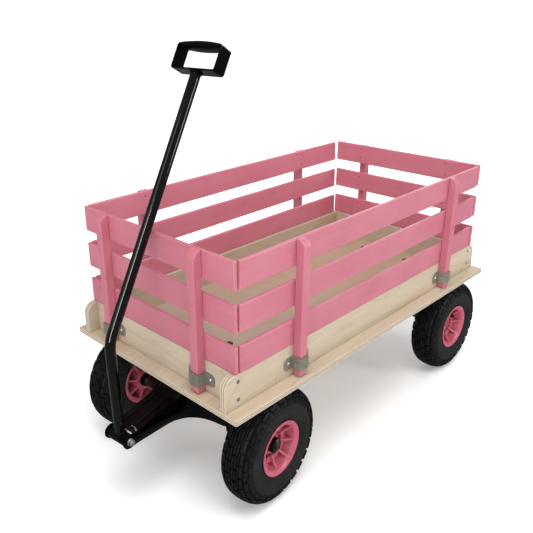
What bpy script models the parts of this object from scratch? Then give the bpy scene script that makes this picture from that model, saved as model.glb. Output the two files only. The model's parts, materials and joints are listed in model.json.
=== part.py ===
"""Pull wagon: plywood tray, slatted lift-out panels, steered front axle, pull handle."""
import math

import bmesh
import bpy
from mathutils import Matrix, Vector

# Frame: Z up from the floor, the front faces -Y, X is across the wagon. Metres and radians.
FRAME_Y = 0.0399          # tray centre, measured from the row's origin
STEER_REST = math.radians(5.0)

# tray
PLATE_HALF_X = 0.2700
PLATE_Y = (-0.5000, 0.4980)
PLATE_BOTTOM = 0.2785
PLATE_T = 0.0120
PLATE_CORNER_R = 0.0050
FLOOR_Z = PLATE_BOTTOM + PLATE_T
BOARD_T = 0.0150
BOARD_OUT_X = 0.2395
BOARD_Y = (-0.4980, 0.4900)
BOARD_CORNER_R = 0.0250
END_OUT_Y = 0.4700
SLAT_FOOT_Z = 0.3630
GAP = 0.0003

# panels
SLAT_T = 0.0085
SLAT_H = 0.0581
SLAT_PITCH = 0.0871
SLAT_ROUND = 0.0025
POST_W = 0.0215
POST_D = 0.0200
POST_FOOT_Z = 0.2925
POST_TOP_Z = SLAT_FOOT_Z + 2 * SLAT_PITCH + SLAT_H
POST_ROUND = 0.0175
LEAN = math.radians(1.0)

# brackets
BRACKET_T = 0.0015
BRACKET_H = 0.0285
BRACKET_Z = 0.3225
BRACKET_FLANGE = 0.0250
BRACKET_DEPTH = 0.0220
BRACKET_PLAY = 0.0012

# running gear
WHEEL_R = 0.1300
WHEEL_X = 0.2155
FRONT_Y = -0.3680
REAR_Y = 0.4030
WHEEL_SEGMENTS = 32
RIM_SEGMENTS = 24
SHAFT_SEGMENTS = 20
BUSH_R = 0.0165
BUSH_BORE = 0.0081
BUSH_IN = -0.0437
BUSH_OUT_FRONT = 0.0200
BUSH_OUT_REAR = -0.0020
JOURNAL_R = 0.0080
AXLE_R = 0.0125
AXLE_SHOULDER_X = 0.1712
AXLE_END_FRONT = 0.2409
AXLE_END_REAR = 0.2190
SHEET = 0.0030
BEAM_X = 0.1600
BEAM_HALF_Y = 0.0355
BEAM_TOP = 0.2100
BEAM_FLANGE_Z = 0.1455
WEB_X = 0.1200
WEB_T = 0.0040

# turntable
UPPER_PLATE_Z = (0.2747, 0.2782)
RACE_Z = (0.2645, 0.2744)
LOWER_PLATE_Z = (0.2607, 0.2642)
FRAME_TOP = 0.2604
KINGPIN_HOLE = 0.0081

# handle, in the steered frame whose origin is the kingpin's axis
PIVOT_Y = -0.2270
PIVOT_Z = 0.1795
SLEEVE_R = 0.0138
SLEEVE_LEN = 0.0530
BOLT_R = 0.0050
TUBE_R = 0.0110
TUBE_BEND = (-0.2312, 0.4000)
TUBE_SLOPE = 0.5555
TUBE_BEND_R = 0.0800
GRIP_Z = 0.9139
GRIP_W = 0.1195
GRIP_H = 0.0555
GRIP_D = 0.0318
GRIP_T = 0.0036
GRIP_CORNER = 0.0065


def fresh_scene():
    for obj in list(bpy.data.objects):
        bpy.data.objects.remove(obj, do_unlink=True)


def make_collection(name, parent):
    coll = bpy.data.collections.new(name)
    parent.children.link(coll)
    return coll


def material(name, colour, roughness, metallic):
    mat = bpy.data.materials.new(name)
    mat.use_nodes = True
    shader = mat.node_tree.nodes["Principled BSDF"]
    shader.inputs["Base Color"].default_value = (*colour, 1.0)
    shader.inputs["Roughness"].default_value = roughness
    shader.inputs["Metallic"].default_value = metallic
    return mat


fresh_scene()
SCENE_COLL = bpy.context.scene.collection
PART = make_collection("pull_wagon", SCENE_COLL)
CUTTERS = make_collection("cutters", SCENE_COLL)

PLY = material("plywood", (0.62, 0.50, 0.34), 0.65, 0.0)
PINK = material("pink_paint", (0.76, 0.27, 0.36), 0.45, 0.0)
ZINC = material("zinc_steel", (0.42, 0.42, 0.38), 0.45, 0.9)
BLACK = material("black_paint", (0.012, 0.012, 0.013), 0.30, 0.0)
STEEL = material("bright_steel", (0.55, 0.55, 0.56), 0.30, 1.0)
TYRE = material("tyre_rubber", (0.018, 0.018, 0.020), 0.80, 0.0)
RIM = material("pink_rim", (0.80, 0.17, 0.28), 0.28, 0.0)
BUSH = material("black_plastic", (0.015, 0.015, 0.015), 0.45, 0.0)


def empty(name, location, parent=None, rotation=(0.0, 0.0, 0.0)):
    obj = bpy.data.objects.new(name, None)
    PART.objects.link(obj)
    obj.parent = parent
    obj.location = location
    obj.rotation_euler = rotation
    return obj


def place(obj, mat, parent, location, rotation=(0.0, 0.0, 0.0)):
    obj.data.materials.append(mat)
    obj.parent = parent
    obj.location = location
    obj.rotation_euler = rotation
    return obj


def mesh_object(name, bm, coll=None):
    bmesh.ops.recalc_face_normals(bm, faces=bm.faces)
    mesh = bpy.data.meshes.new(name)
    bm.to_mesh(mesh)
    bm.free()
    obj = bpy.data.objects.new(name, mesh)
    (coll or PART).objects.link(obj)
    return obj


def smooth(obj, degrees=32.0):
    obj.data.shade_smooth()
    obj.data.set_sharp_from_angle(angle=math.radians(degrees))


def box_bm(size, centre=(0.0, 0.0, 0.0)):
    bm = bmesh.new()
    matrix = Matrix.Translation(centre) @ Matrix.Diagonal((*size, 1.0))
    bmesh.ops.create_cube(bm, size=1.0, matrix=matrix)
    return bm


def round_edges(bm, keep, offset, segments):
    edges = [e for e in bm.edges if keep(e.verts[0].co, e.verts[1].co)]
    bmesh.ops.bevel(bm, geom=edges, offset=offset, segments=segments, affect="EDGES", profile=0.5)


def bevel(obj, width, segments, degrees=40.0):
    mod = obj.modifiers.new("soft_edges", "BEVEL")
    mod.width = width
    mod.segments = segments
    mod.limit_method = "ANGLE"
    mod.angle_limit = math.radians(degrees)
    mod.harden_normals = False
    return mod


def boolean(obj, tool, operation):
    mod = obj.modifiers.new(operation.lower(), "BOOLEAN")
    mod.operation = operation
    mod.solver = "EXACT"
    mod.object = tool


def cutter(name, bm, parent, location=(0.0, 0.0, 0.0), rotation=(0.0, 0.0, 0.0)):
    obj = mesh_object(name, bm, CUTTERS)
    obj.hide_render = True
    obj.display_type = "WIRE"
    obj.parent = parent
    obj.location = location
    obj.rotation_euler = rotation
    return obj


def cylinder_bm(radius, length, segments, radius_top=None):
    bm = bmesh.new()
    top = radius if radius_top is None else radius_top
    bmesh.ops.create_cone(bm, cap_ends=True, segments=segments, radius1=radius, radius2=top, depth=length)
    return bm


def turned(name, profile, segments, closed=False):
    """A profile of (radius, height) pairs, top to bottom on its outer side, turned about local Z."""
    bm = bmesh.new()
    verts = [bm.verts.new((r, 0.0, z)) for r, z in profile]
    pairs = list(zip(verts, verts[1:]))
    if closed:
        pairs.append((verts[-1], verts[0]))
    for a, b in pairs:
        bm.edges.new((a, b))
    mesh = bpy.data.meshes.new(name)
    bm.to_mesh(mesh)
    bm.free()
    obj = bpy.data.objects.new(name, mesh)
    PART.objects.link(obj)
    mod = obj.modifiers.new("turn", "SCREW")
    mod.axis = "Z"
    mod.steps = segments
    mod.render_steps = segments
    mod.use_merge_vertices = True
    mod.merge_threshold = 0.00001
    mod.use_smooth_shade = True
    return obj


ALONG_X = (0.0, math.pi / 2, 0.0)
ROOT = empty("wagon_frame", (0.0, FRAME_Y, 0.0))


# ---------------------------------------------------------------- tray
def build_tray():
    length = PLATE_Y[1] - PLATE_Y[0]
    bm = box_bm((2 * PLATE_HALF_X, length, PLATE_T))
    round_edges(bm, lambda a, b: abs(a.z - b.z) > 0.001, PLATE_CORNER_R, 4)
    plate = mesh_object("base_plate", bm)
    place(plate, PLY, ROOT, (0.0, sum(PLATE_Y) / 2, PLATE_BOTTOM + PLATE_T / 2))
    bevel(plate, 0.0010, 1)

    height = SLAT_FOOT_Z - FLOOR_Z - 2 * GAP
    middle_z = FLOOR_Z + GAP + height / 2
    length = BOARD_Y[1] - BOARD_Y[0]
    for side, sign in (("left", -1), ("right", 1)):
        bm = box_bm((BOARD_T, length, height))
        round_edges(bm, lambda a, b: abs(a.x - b.x) > 0.001 and a.z > 0.0, BOARD_CORNER_R, 6)
        board = mesh_object("side_board_" + side, bm)
        place(board, PLY, ROOT, (sign * (BOARD_OUT_X - BOARD_T / 2), sum(BOARD_Y) / 2, middle_z))
        bevel(board, 0.0008, 1)
    width = 2 * (BOARD_OUT_X - BOARD_T - GAP)
    for end, sign in (("front", -1), ("rear", 1)):
        board = mesh_object("end_board_" + end, box_bm((width, BOARD_T, height)))
        place(board, PLY, ROOT, (0.0, sign * (END_OUT_Y - BOARD_T / 2), middle_z))
        bevel(board, 0.0008, 1)


# ---------------------------------------------------------------- panels
# Each panel's own frame: X along the slats, -Y out of the wagon, origin at the slats' outer face.
def build_slat(name, frame, ends, level):
    slat = mesh_object(name, box_bm((ends[1] - ends[0], SLAT_T, SLAT_H)))
    z = SLAT_FOOT_Z - POST_FOOT_Z + level * SLAT_PITCH + SLAT_H / 2
    place(slat, PINK, frame, ((ends[0] + ends[1]) / 2, SLAT_T / 2, z))
    bevel(slat, SLAT_ROUND, 2)


def build_post(name, frame, along, rounding):
    height = POST_TOP_Z - POST_FOOT_Z
    bm = box_bm((POST_W, POST_D, height))
    segments = 6 if rounding else 1
    reach = POST_ROUND if rounding else 0.0135
    round_edges(bm, lambda a, b: a.z > 0 and b.z > 0 and a.y < 0 and b.y < 0, reach, segments)
    post = mesh_object(name, bm)
    place(post, PINK, frame, (along, -GAP - POST_D / 2, height / 2))
    bevel(post, 0.0010, 1)


def build_panel(name, location, heading, lean, ends, posts):
    frame = empty(name + "_panel", location, ROOT, (lean, 0.0, heading))
    for level, label in enumerate(("low", "middle", "top")):
        build_slat("%s_slat_%s" % (name, label), frame, ends, level)
    for label, along, rounding in posts:
        build_post("%s_post_%s" % (name, label), frame, along, rounding)


def build_bracket(name, location, heading):
    """Hat-section strap: two flanges with rounded ends on the board, a bow round the post."""
    inner = POST_W / 2 + BRACKET_PLAY
    outer = inner + BRACKET_T
    reach = outer + BRACKET_FLANGE
    front = -BRACKET_DEPTH
    outline = [(-reach, 0.0), (-inner, 0.0), (-inner, front), (inner, front), (inner, 0.0), (reach, 0.0),
               (reach, -BRACKET_T), (outer, -BRACKET_T), (outer, front - BRACKET_T),
               (-outer, front - BRACKET_T), (-outer, -BRACKET_T), (-reach, -BRACKET_T)]
    bm = bmesh.new()
    face = bm.faces.new([bm.verts.new((x, y, -BRACKET_H / 2)) for x, y in outline])
    grown = bmesh.ops.extrude_face_region(bm, geom=[face])
    moved = [v for v in grown["geom"] if isinstance(v, bmesh.types.BMVert)]
    bmesh.ops.translate(bm, verts=moved, vec=(0.0, 0.0, BRACKET_H))
    bmesh.ops.recalc_face_normals(bm, faces=bm.faces)
    tip = reach - 0.0001
    round_edges(bm, lambda a, b: min(abs(a.x), abs(b.x)) > tip and abs(a.y - b.y) > 0.001, 0.0090, 4)
    bow = outer + 0.0001
    round_edges(bm, lambda a, b: max(abs(a.x), abs(b.x)) < bow and max(a.y, b.y) < front + 0.0001
                and abs(a.z - b.z) > 0.01, 0.0012, 2)
    bracket = mesh_object(name, bm)
    place(bracket, ZINC, ROOT, location, (0.0, 0.0, heading))
    smooth(bracket)


RIGHT, LEFT, FRONT, REAR = math.pi / 2, -math.pi / 2, 0.0, math.pi
SIDE_ENDS = (-0.4585, 0.4530)
RIGHT_POSTS = (-0.2945, 0.3020)
LEFT_POSTS = (-0.3000, 0.2880)
FRONT_POSTS = (-0.1560, 0.1430)
REAR_POSTS = (-0.1450, 0.1450)
END_HALF = 0.2405


def build_panels():
    out = BOARD_OUT_X
    build_panel("right", (out, 0.0, POST_FOOT_Z), RIGHT, LEAN, SIDE_ENDS,
                (("front", RIGHT_POSTS[0], True), ("rear", RIGHT_POSTS[1], True)))
    build_panel("left", (-out, 0.0, POST_FOOT_Z), LEFT, LEAN, (-SIDE_ENDS[1], -SIDE_ENDS[0]),
                (("front", -LEFT_POSTS[0], True), ("rear", -LEFT_POSTS[1], True)))
    build_panel("front", (0.0, -END_OUT_Y, POST_FOOT_Z), FRONT, 0.0, (-END_HALF, END_HALF),
                (("left", FRONT_POSTS[0], True), ("right", FRONT_POSTS[1], False)))
    build_panel("rear", (0.0, END_OUT_Y, POST_FOOT_Z), REAR, LEAN, (-END_HALF, END_HALF),
                (("left", -REAR_POSTS[0], True), ("right", -REAR_POSTS[1], True)))


def build_brackets():
    for label, y in zip(("front", "rear"), RIGHT_POSTS):
        build_bracket("bracket_right_" + label, (BOARD_OUT_X + GAP, y, BRACKET_Z), RIGHT)
    for label, y in zip(("front", "rear"), LEFT_POSTS):
        build_bracket("bracket_left_" + label, (-BOARD_OUT_X - GAP, y, BRACKET_Z), LEFT)
    for label, x in zip(("left", "right"), FRONT_POSTS):
        build_bracket("bracket_front_" + label, (x, -END_OUT_Y - GAP, BRACKET_Z), FRONT)
    for label, x in zip(("left", "right"), REAR_POSTS):
        build_bracket("bracket_rear_" + label, (x, END_OUT_Y + GAP, BRACKET_Z), REAR)


# ---------------------------------------------------------------- wheels
TYRE_PROFILE = [(0.1300, 0.0150), (0.1270, 0.0300), (0.1170, 0.0385), (0.1000, 0.0405), (0.0800, 0.0393),
                (0.0645, 0.0310), (0.0508, 0.0240)]
RIM_PROFILE = [(0.0170, -0.0100), (0.0240, -0.0100), (0.0430, -0.0040), (0.0560, 0.0348), (0.0632, 0.0348),
               (0.0632, 0.0318), (0.0500, 0.0245), (0.0500, -0.0245), (0.0632, -0.0318), (0.0632, -0.0348),
               (0.0560, -0.0348), (0.0430, -0.0120), (0.0240, -0.0360), (0.0170, -0.0360)]


def build_wheel(name, frame, side, bush_out):
    """side is +1 for a wheel whose outer face looks along +X."""
    flat = 1.0 / math.cos(math.pi / WHEEL_SEGMENTS)
    half = [(r * flat if r > 0.11 else r, x) for r, x in TYRE_PROFILE]
    profile = [(r, -x) for r, x in half] + [(r, x) for r, x in reversed(half)]
    turn = (0.0, side * math.pi / 2, 0.0)
    tyre = turned(name + "_tyre", profile, WHEEL_SEGMENTS, closed=True)
    tyre.rotation_mode = "ZYX"
    place(tyre, TYRE, frame, (0.0, 0.0, 0.0), (0.0, side * math.pi / 2, math.pi / WHEEL_SEGMENTS))
    rim = turned(name + "_rim", RIM_PROFILE, RIM_SEGMENTS, closed=True)
    place(rim, RIM, frame, (0.0, 0.0, 0.0), turn)
    bush = turned(name + "_bush", [(BUSH_BORE, bush_out), (BUSH_R, bush_out), (BUSH_R, BUSH_IN),
                                   (BUSH_BORE, BUSH_IN)], SHAFT_SEGMENTS, closed=True)
    place(bush, BUSH, frame, (0.0, 0.0, 0.0), turn)


def build_axle(name, parent, location, end_x):
    shaft = [(0.0, end_x), (JOURNAL_R - 0.001, end_x), (JOURNAL_R, end_x - 0.001),
             (JOURNAL_R, AXLE_SHOULDER_X), (AXLE_R, AXLE_SHOULDER_X)]
    profile = shaft + [(r, -x) for r, x in reversed(shaft)]
    axle = turned(name, profile, SHAFT_SEGMENTS)
    place(axle, STEEL, parent, location, ALONG_X)


# ---------------------------------------------------------------- pressed frames
def step(value, low, high):
    t = min(1.0, max(0.0, (value - low) / (high - low)))
    return t * t * (3.0 - 2.0 * t)


def front_top(x, y):
    """Height of the pressed sheet: low at the tongue's tip, raised to the turntable at the kingpin."""
    base = min(BEAM_TOP + 0.003, 0.1965 + max(0.0, y + 0.205) * 0.165)
    raised = step(y, -0.105, -0.060) * (1.0 - step(abs(x), 0.062, 0.090))
    return base + (FRAME_TOP - base) * raised


def rear_top(x, y):
    raised = 1.0 - step(abs(x), 0.088, 0.108)
    return BEAM_TOP + (UPPER_PLATE_Z[1] - BEAM_TOP) * raised


FRONT_STATIONS = [(-0.2430, 0.0305, 0.1755, 0.1835, False), (-0.2400, 0.0305, 0.1690, 0.1900, False),
                  (-0.2345, 0.0305, 0.1648, 0.1942, False), (-0.2270, 0.0305, 0.1630, 0.1960, False),
                  (-0.2050, 0.0308, 0.1650, None, True), (-0.1500, 0.0328, 0.1650, None, True),
                  (-0.1200, 0.0345, 0.1650, None, True), (-0.0930, 0.0380, 0.1610, None, True),
                  (-0.0740, 0.0455, 0.1580, None, True), (-0.0610, 0.0550, 0.1550, None, True),
                  (-0.0505, 0.0680, 0.1525, None, True), (-0.0430, 0.0850, 0.1500, None, True),
                  (-0.0385, 0.1050, 0.1480, None, True), (-0.0362, 0.1300, 0.1460, None, True),
                  (-BEAM_HALF_Y, BEAM_X, BEAM_FLANGE_Z, None, True), (0.0, BEAM_X, BEAM_FLANGE_Z, None, True),
                  (BEAM_HALF_Y, BEAM_X, BEAM_FLANGE_Z, None, True)]
REAR_STATIONS = [(y, BEAM_X, BEAM_FLANGE_Z, None, True) for y in (-BEAM_HALF_Y, 0.0, BEAM_HALF_Y)]
FRONT_COLUMNS = (0.0, 0.38, 0.48, 0.58)
REAR_COLUMNS = (0.0, 0.54, 0.61, 0.68)
BEND_R = 0.0030


def build_sheet(name, stations, columns, top, front_flange):
    """A pressed sheet lofted across the wagon's width, with flanges turned down on its outline."""
    bm = bmesh.new()
    rows = []
    for y, w, low, high, has_top in stations:
        edge = top(w, y) if high is None else high
        row = {"low": [], "top": [], "y": y}
        for sign in (-1, 1):
            row["low"].append(bm.verts.new((sign * w, y, low)))
        if has_top:
            fractions = [-c for c in reversed(columns[1:])] + list(columns)
            left = [(-w, edge - BEND_R), (-w + BEND_R, edge)]
            right = [(w - BEND_R, edge), (w, edge - BEND_R)]
            middle = [(f * w, top(f * w, y)) for f in fractions]
            row["top"] = [bm.verts.new((x, y, z)) for x, z in left + middle + right]
        else:
            row["top"] = [bm.verts.new((-w, y, edge)), bm.verts.new((w, y, edge))]
        rows.append(row)
    for a, b in zip(rows, rows[1:]):
        bm.faces.new((a["low"][0], a["top"][0], b["top"][0], b["low"][0]))
        bm.faces.new((a["low"][1], b["low"][1], b["top"][-1], a["top"][-1]))
        if len(a["top"]) > 2 and len(b["top"]) > 2:
            for k in range(len(a["top"]) - 1):
                bm.faces.new((a["top"][k], a["top"][k + 1], b["top"][k + 1], b["top"][k]))
    for row in ([rows[0]] if front_flange else []) + [rows[-1]]:
        lows = [row["low"][0]]
        lows += [bm.verts.new((v.co.x, row["y"], row["low"][0].co.z)) for v in row["top"][1:-1]]
        lows.append(row["low"][1])
        for k in range(len(lows) - 1):
            quad = [lows[k], lows[k + 1], row["top"][k + 1], row["top"][k]]
            bm.faces.new(quad)
    obj = mesh_object(name, bm)
    mod = obj.modifiers.new("sheet", "SOLIDIFY")
    mod.thickness = SHEET
    mod.offset = -1.0
    mod.use_even_offset = True
    mod.use_rim = True
    return obj


def web_bm(x, half_y, top_z):
    outline = [(-half_y, top_z), (half_y, top_z), (half_y, 0.1500), (0.0190, 0.1110), (-0.0190, 0.1110),
               (-half_y, 0.1500)]
    bm = bmesh.new()
    face = bm.faces.new([bm.verts.new((x - WEB_T / 2, y, z)) for y, z in outline])
    grown = bmesh.ops.extrude_face_region(bm, geom=[face])
    moved = [v for v in grown["geom"] if isinstance(v, bmesh.types.BMVert)]
    bmesh.ops.translate(bm, verts=moved, vec=(WEB_T, 0.0, 0.0))
    return bm


def build_frame(name, parent, location, stations, columns, top, front_flange):
    frame = build_sheet(name, stations, columns, top, front_flange)
    place(frame, BLACK, parent, location)
    for sign, label in ((-1, "left"), (1, "right")):
        web = cutter(name + "_web_" + label, web_bm(sign * WEB_X, BEAM_HALF_Y - 0.0016, BEAM_TOP - 0.0012),
                     parent, location)
        boolean(frame, web, "UNION")
    bore = cutter(name + "_axle_bore", cylinder_bm(AXLE_R + 0.0004, 0.30, 20), parent,
                  (location[0], location[1], WHEEL_R), ALONG_X)
    boolean(frame, bore, "DIFFERENCE")
    return frame


def build_plate(name, parent, half_x, half_y, z, hole, mat):
    bm = box_bm((2 * half_x, 2 * half_y, z[1] - z[0]))
    round_edges(bm, lambda a, b: abs(a.z - b.z) > 0.001, 0.010, 3)
    plate = mesh_object(name, bm)
    place(plate, mat, parent, (0.0, 0.0, (z[0] + z[1]) / 2))
    if hole:
        tool = cutter(name + "_hole", cylinder_bm(hole, 0.02, 24), parent, (0.0, 0.0, (z[0] + z[1]) / 2))
        boolean(plate, tool, "DIFFERENCE")


def build_running_gear():
    kingpin = empty("kingpin_axis", (0.0, FRONT_Y, 0.0), ROOT)
    steer = empty("steered", (0.0, FRONT_Y, 0.0), ROOT, (0.0, 0.0, STEER_REST))
    build_plate("turntable_upper_plate", kingpin, 0.0650, 0.0750, UPPER_PLATE_Z, None, BLACK)
    race = turned("turntable_race", [(0.0300, RACE_Z[1]), (0.0540, RACE_Z[1]), (0.0540, RACE_Z[0]),
                                     (0.0300, RACE_Z[0])], RIM_SEGMENTS, closed=True)
    place(race, STEEL, kingpin, (0.0, 0.0, 0.0))
    pin = turned("kingpin", [(0.0, 0.2743), (JOURNAL_R, 0.2743), (JOURNAL_R, 0.2568), (0.0150, 0.2568),
                             (0.0150, 0.2545), (0.0120, 0.2545), (0.0120, 0.2450), (JOURNAL_R, 0.2450),
                             (JOURNAL_R, 0.2390), (0.0, 0.2390)], SHAFT_SEGMENTS)
    place(pin, STEEL, kingpin, (0.0, 0.0, 0.0))

    build_plate("turntable_lower_plate", steer, 0.0560, 0.0340, LOWER_PLATE_Z, KINGPIN_HOLE, BLACK)
    frame = build_frame("front_axle_frame", steer, (0.0, 0.0, 0.0), FRONT_STATIONS, FRONT_COLUMNS, front_top, False)
    hole = cutter("front_kingpin_hole", cylinder_bm(KINGPIN_HOLE, 0.04, 24), steer, (0.0, 0.0, FRAME_TOP))
    boolean(frame, hole, "DIFFERENCE")
    hole = cutter("front_pivot_hole", cylinder_bm(BOLT_R + 0.0004, 0.10, 16), steer,
                  (0.0, PIVOT_Y, PIVOT_Z), ALONG_X)
    boolean(frame, hole, "DIFFERENCE")
    smooth(frame, 25.0)
    build_axle("front_axle", steer, (0.0, 0.0, WHEEL_R), AXLE_END_FRONT)
    for label, side in (("left", -1), ("right", 1)):
        spin = empty("front_%s_wheel_axis" % label, (side * WHEEL_X, 0.0, WHEEL_R), steer)
        build_wheel("front_%s" % label, spin, side, BUSH_OUT_FRONT)

    rear = empty("rear_axle_line", (0.0, REAR_Y, 0.0), ROOT)
    frame = build_frame("rear_axle_frame", rear, (0.0, 0.0, 0.0), REAR_STATIONS, REAR_COLUMNS, rear_top, True)
    smooth(frame, 25.0)
    build_axle("rear_axle", rear, (0.0, 0.0, WHEEL_R), AXLE_END_REAR)
    for label, side in (("left", -1), ("right", 1)):
        spin = empty("rear_%s_wheel_axis" % label, (side * WHEEL_X, REAR_Y, WHEEL_R), ROOT)
        build_wheel("rear_%s" % label, spin, side, BUSH_OUT_REAR)
    return steer


# ---------------------------------------------------------------- handle
def bend_points():
    """Tube centre line: near-vertical foot, one bend, straight upper part leaning back."""
    foot = Vector((PIVOT_Y, PIVOT_Z + SLEEVE_R + GAP))
    corner = Vector(TUBE_BEND)
    up = Vector((TUBE_SLOPE, 1.0)).normalized()
    down = (foot - corner).normalized()
    turn = math.pi - down.angle(up)
    cut = TUBE_BEND_R * math.tan(turn / 2)
    start, end = corner + down * cut, corner + up * cut
    centre = corner + (down + up).normalized() * (TUBE_BEND_R / math.cos(turn / 2))
    points = [foot]
    count = 6
    for k in range(count + 1):
        blend = k / count
        way = (start - centre).normalized().slerp((end - centre).normalized(), blend)
        points.append(centre + way * TUBE_BEND_R)
    top = corner + up * ((GRIP_Z - corner.y) / up.y - GRIP_H / 2 - GAP)
    points.append(top)
    return points, up, top


def tube_from_path(name, points, radius, resolution):
    curve = bpy.data.curves.new(name + "_path", "CURVE")
    curve.dimensions = "3D"
    curve.bevel_depth = radius
    curve.bevel_resolution = resolution
    curve.use_fill_caps = True
    spline = curve.splines.new("POLY")
    spline.points.add(len(points) - 1)
    for slot, point in zip(spline.points, points):
        slot.co = (0.0, point[0], point[1], 1.0)
    path = bpy.data.objects.new(name + "_path", curve)
    PART.objects.link(path)
    mesh = bpy.data.meshes.new_from_object(path)
    mesh.name = name
    bpy.data.objects.remove(path, do_unlink=True)
    bm = bmesh.new()
    bm.from_mesh(mesh)
    bmesh.ops.remove_doubles(bm, verts=bm.verts, dist=0.00001)
    obj = mesh_object(name, bm)
    smooth(obj)
    return obj


def loop_bm(width, height, depth, thickness, corner):
    """Closed band: outer box with rounded corners less an inner one, band width along Y."""
    outer = box_bm((width, depth, height))
    round_edges(outer, lambda a, b: abs(a.y - b.y) > 0.001, corner, 4)
    inner = box_bm((width - 2 * thickness, depth * 2, height - 2 * thickness))
    round_edges(inner, lambda a, b: abs(a.y - b.y) > 0.001, corner - thickness, 4)
    return outer, inner


def build_handle(steer):
    tilt = empty("handle_axis", (0.0, PIVOT_Y, PIVOT_Z), steer)
    offset = Vector((PIVOT_Y, PIVOT_Z))
    points, up, top = bend_points()
    tube = tube_from_path("handle_tube", [p - offset for p in points], TUBE_R, 4)
    place(tube, BLACK, tilt, (0.0, 0.0, 0.0))
    half = SLEEVE_LEN / 2
    sleeve = turned("pivot_sleeve", [(BOLT_R + 0.0001, half), (SLEEVE_R, half), (SLEEVE_R, -half),
                                     (BOLT_R + 0.0001, -half)], 20, closed=True)
    place(sleeve, BLACK, tilt, (0.0, 0.0, 0.0), ALONG_X)

    centre = top + up * (GRIP_H / 2 + GAP) - offset
    lean = -math.atan2(up.x, up.y)
    turn = (lean, 0.0, 0.0)
    outer, inner = loop_bm(GRIP_W, GRIP_H, GRIP_D, GRIP_T, GRIP_CORNER)
    grip = mesh_object("grip_frame", outer)
    place(grip, BLACK, tilt, (0.0, centre.x, centre.y), turn)
    window = cutter("grip_window", inner, tilt, (0.0, centre.x, centre.y), turn)
    boolean(grip, window, "DIFFERENCE")
    bevel(grip, 0.0006, 1)
    smooth(grip)

    rise = GRIP_H / 2 - GRIP_T / 2
    bm = bmesh.new()
    rings = []
    stations = 7
    ring_size = 16
    length = GRIP_W - 2 * GRIP_CORNER - 0.002
    for k in range(stations):
        s = 2.0 * k / (stations - 1) - 1.0
        swell = 1.0 - s * s
        half_n = GRIP_D / 2 + 0.0010 + 0.0016 * swell
        half_t = 0.0048 + 0.0038 * swell
        ring = []
        for j in range(ring_size):
            a = 2.0 * math.pi * j / ring_size
            ring.append(bm.verts.new((s * length / 2, half_n * math.cos(a), rise + half_t * math.sin(a))))
        rings.append(ring)
    for a, b in zip(rings, rings[1:]):
        for j in range(ring_size):
            n = (j + 1) % ring_size
            bm.faces.new((a[j], a[n], b[n], b[j]))
    bm.faces.new(rings[0][::-1])
    bm.faces.new(rings[-1])
    cover = mesh_object("grip_cover", bm)
    place(cover, BUSH, tilt, (0.0, centre.x, centre.y), turn)
    slot = cutter("grip_cover_slot", box_bm((GRIP_W, GRIP_D + 2 * GAP, GRIP_T + 2 * GAP), (0.0, 0.0, rise)),
                  tilt, (0.0, centre.x, centre.y), turn)
    boolean(cover, slot, "DIFFERENCE")
    smooth(cover)

    bolt = turned("pivot_bolt", [(0.0, 0.0415), (0.0080, 0.0415), (0.0092, 0.0400), (0.0092, 0.0345),
                                 (0.0110, 0.0345), (0.0110, 0.0310), (BOLT_R, 0.0310), (BOLT_R, -0.0340),
                                 (0.0, -0.0340)], 12)
    place(bolt, STEEL, steer, (0.0, PIVOT_Y, PIVOT_Z), ALONG_X)


build_tray()
build_panels()
build_brackets()
STEERED = build_running_gear()
build_handle(STEERED)
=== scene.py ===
"""Looks of a four-wheeled garden wagon with lift-out stake panels and a fold-up pull handle."""
import json
import math
import random

import bpy
import bmesh
from mathutils import Matrix, Vector, noise as field


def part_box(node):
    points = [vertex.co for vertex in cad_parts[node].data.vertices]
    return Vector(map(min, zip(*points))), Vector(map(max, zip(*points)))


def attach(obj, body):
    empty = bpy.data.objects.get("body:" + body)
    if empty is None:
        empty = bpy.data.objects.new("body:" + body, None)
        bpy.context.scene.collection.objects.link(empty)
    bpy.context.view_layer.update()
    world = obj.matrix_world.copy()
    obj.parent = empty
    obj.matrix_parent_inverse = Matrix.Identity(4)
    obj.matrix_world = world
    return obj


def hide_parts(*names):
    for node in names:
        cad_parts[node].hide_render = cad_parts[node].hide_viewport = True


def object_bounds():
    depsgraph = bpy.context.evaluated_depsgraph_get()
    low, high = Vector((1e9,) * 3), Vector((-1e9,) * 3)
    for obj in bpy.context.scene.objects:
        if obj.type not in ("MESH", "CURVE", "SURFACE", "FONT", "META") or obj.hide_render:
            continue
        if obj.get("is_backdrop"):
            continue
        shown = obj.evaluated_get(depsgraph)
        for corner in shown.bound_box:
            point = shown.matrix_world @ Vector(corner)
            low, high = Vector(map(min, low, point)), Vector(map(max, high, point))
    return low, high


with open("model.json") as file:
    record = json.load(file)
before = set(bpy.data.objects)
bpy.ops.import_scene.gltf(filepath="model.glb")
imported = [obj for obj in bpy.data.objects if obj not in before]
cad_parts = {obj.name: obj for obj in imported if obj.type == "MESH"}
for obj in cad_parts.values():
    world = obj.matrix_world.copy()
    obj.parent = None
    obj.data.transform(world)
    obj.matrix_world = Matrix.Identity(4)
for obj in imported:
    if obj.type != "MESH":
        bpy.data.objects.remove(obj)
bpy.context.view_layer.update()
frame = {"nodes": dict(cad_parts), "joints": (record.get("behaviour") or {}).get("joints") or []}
NODES = frame["nodes"]
JOINTS = {j["name"]: j for j in frame["joints"]}

# ---------------------------------------------------------------- places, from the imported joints
UP = Vector((0.0, 0.0, 1.0))


def axes_at(origin, across):
    """Frame whose X is across, Z is up and Y points to the wagon's rear."""
    x = Vector(across).normalized()
    y = UP.cross(x)
    return Matrix(((x.x, y.x, 0.0, origin[0]), (x.y, y.y, 0.0, origin[1]),
                   (x.z, y.z, 1.0, origin[2]), (0.0, 0.0, 0.0, 1.0)))


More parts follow.
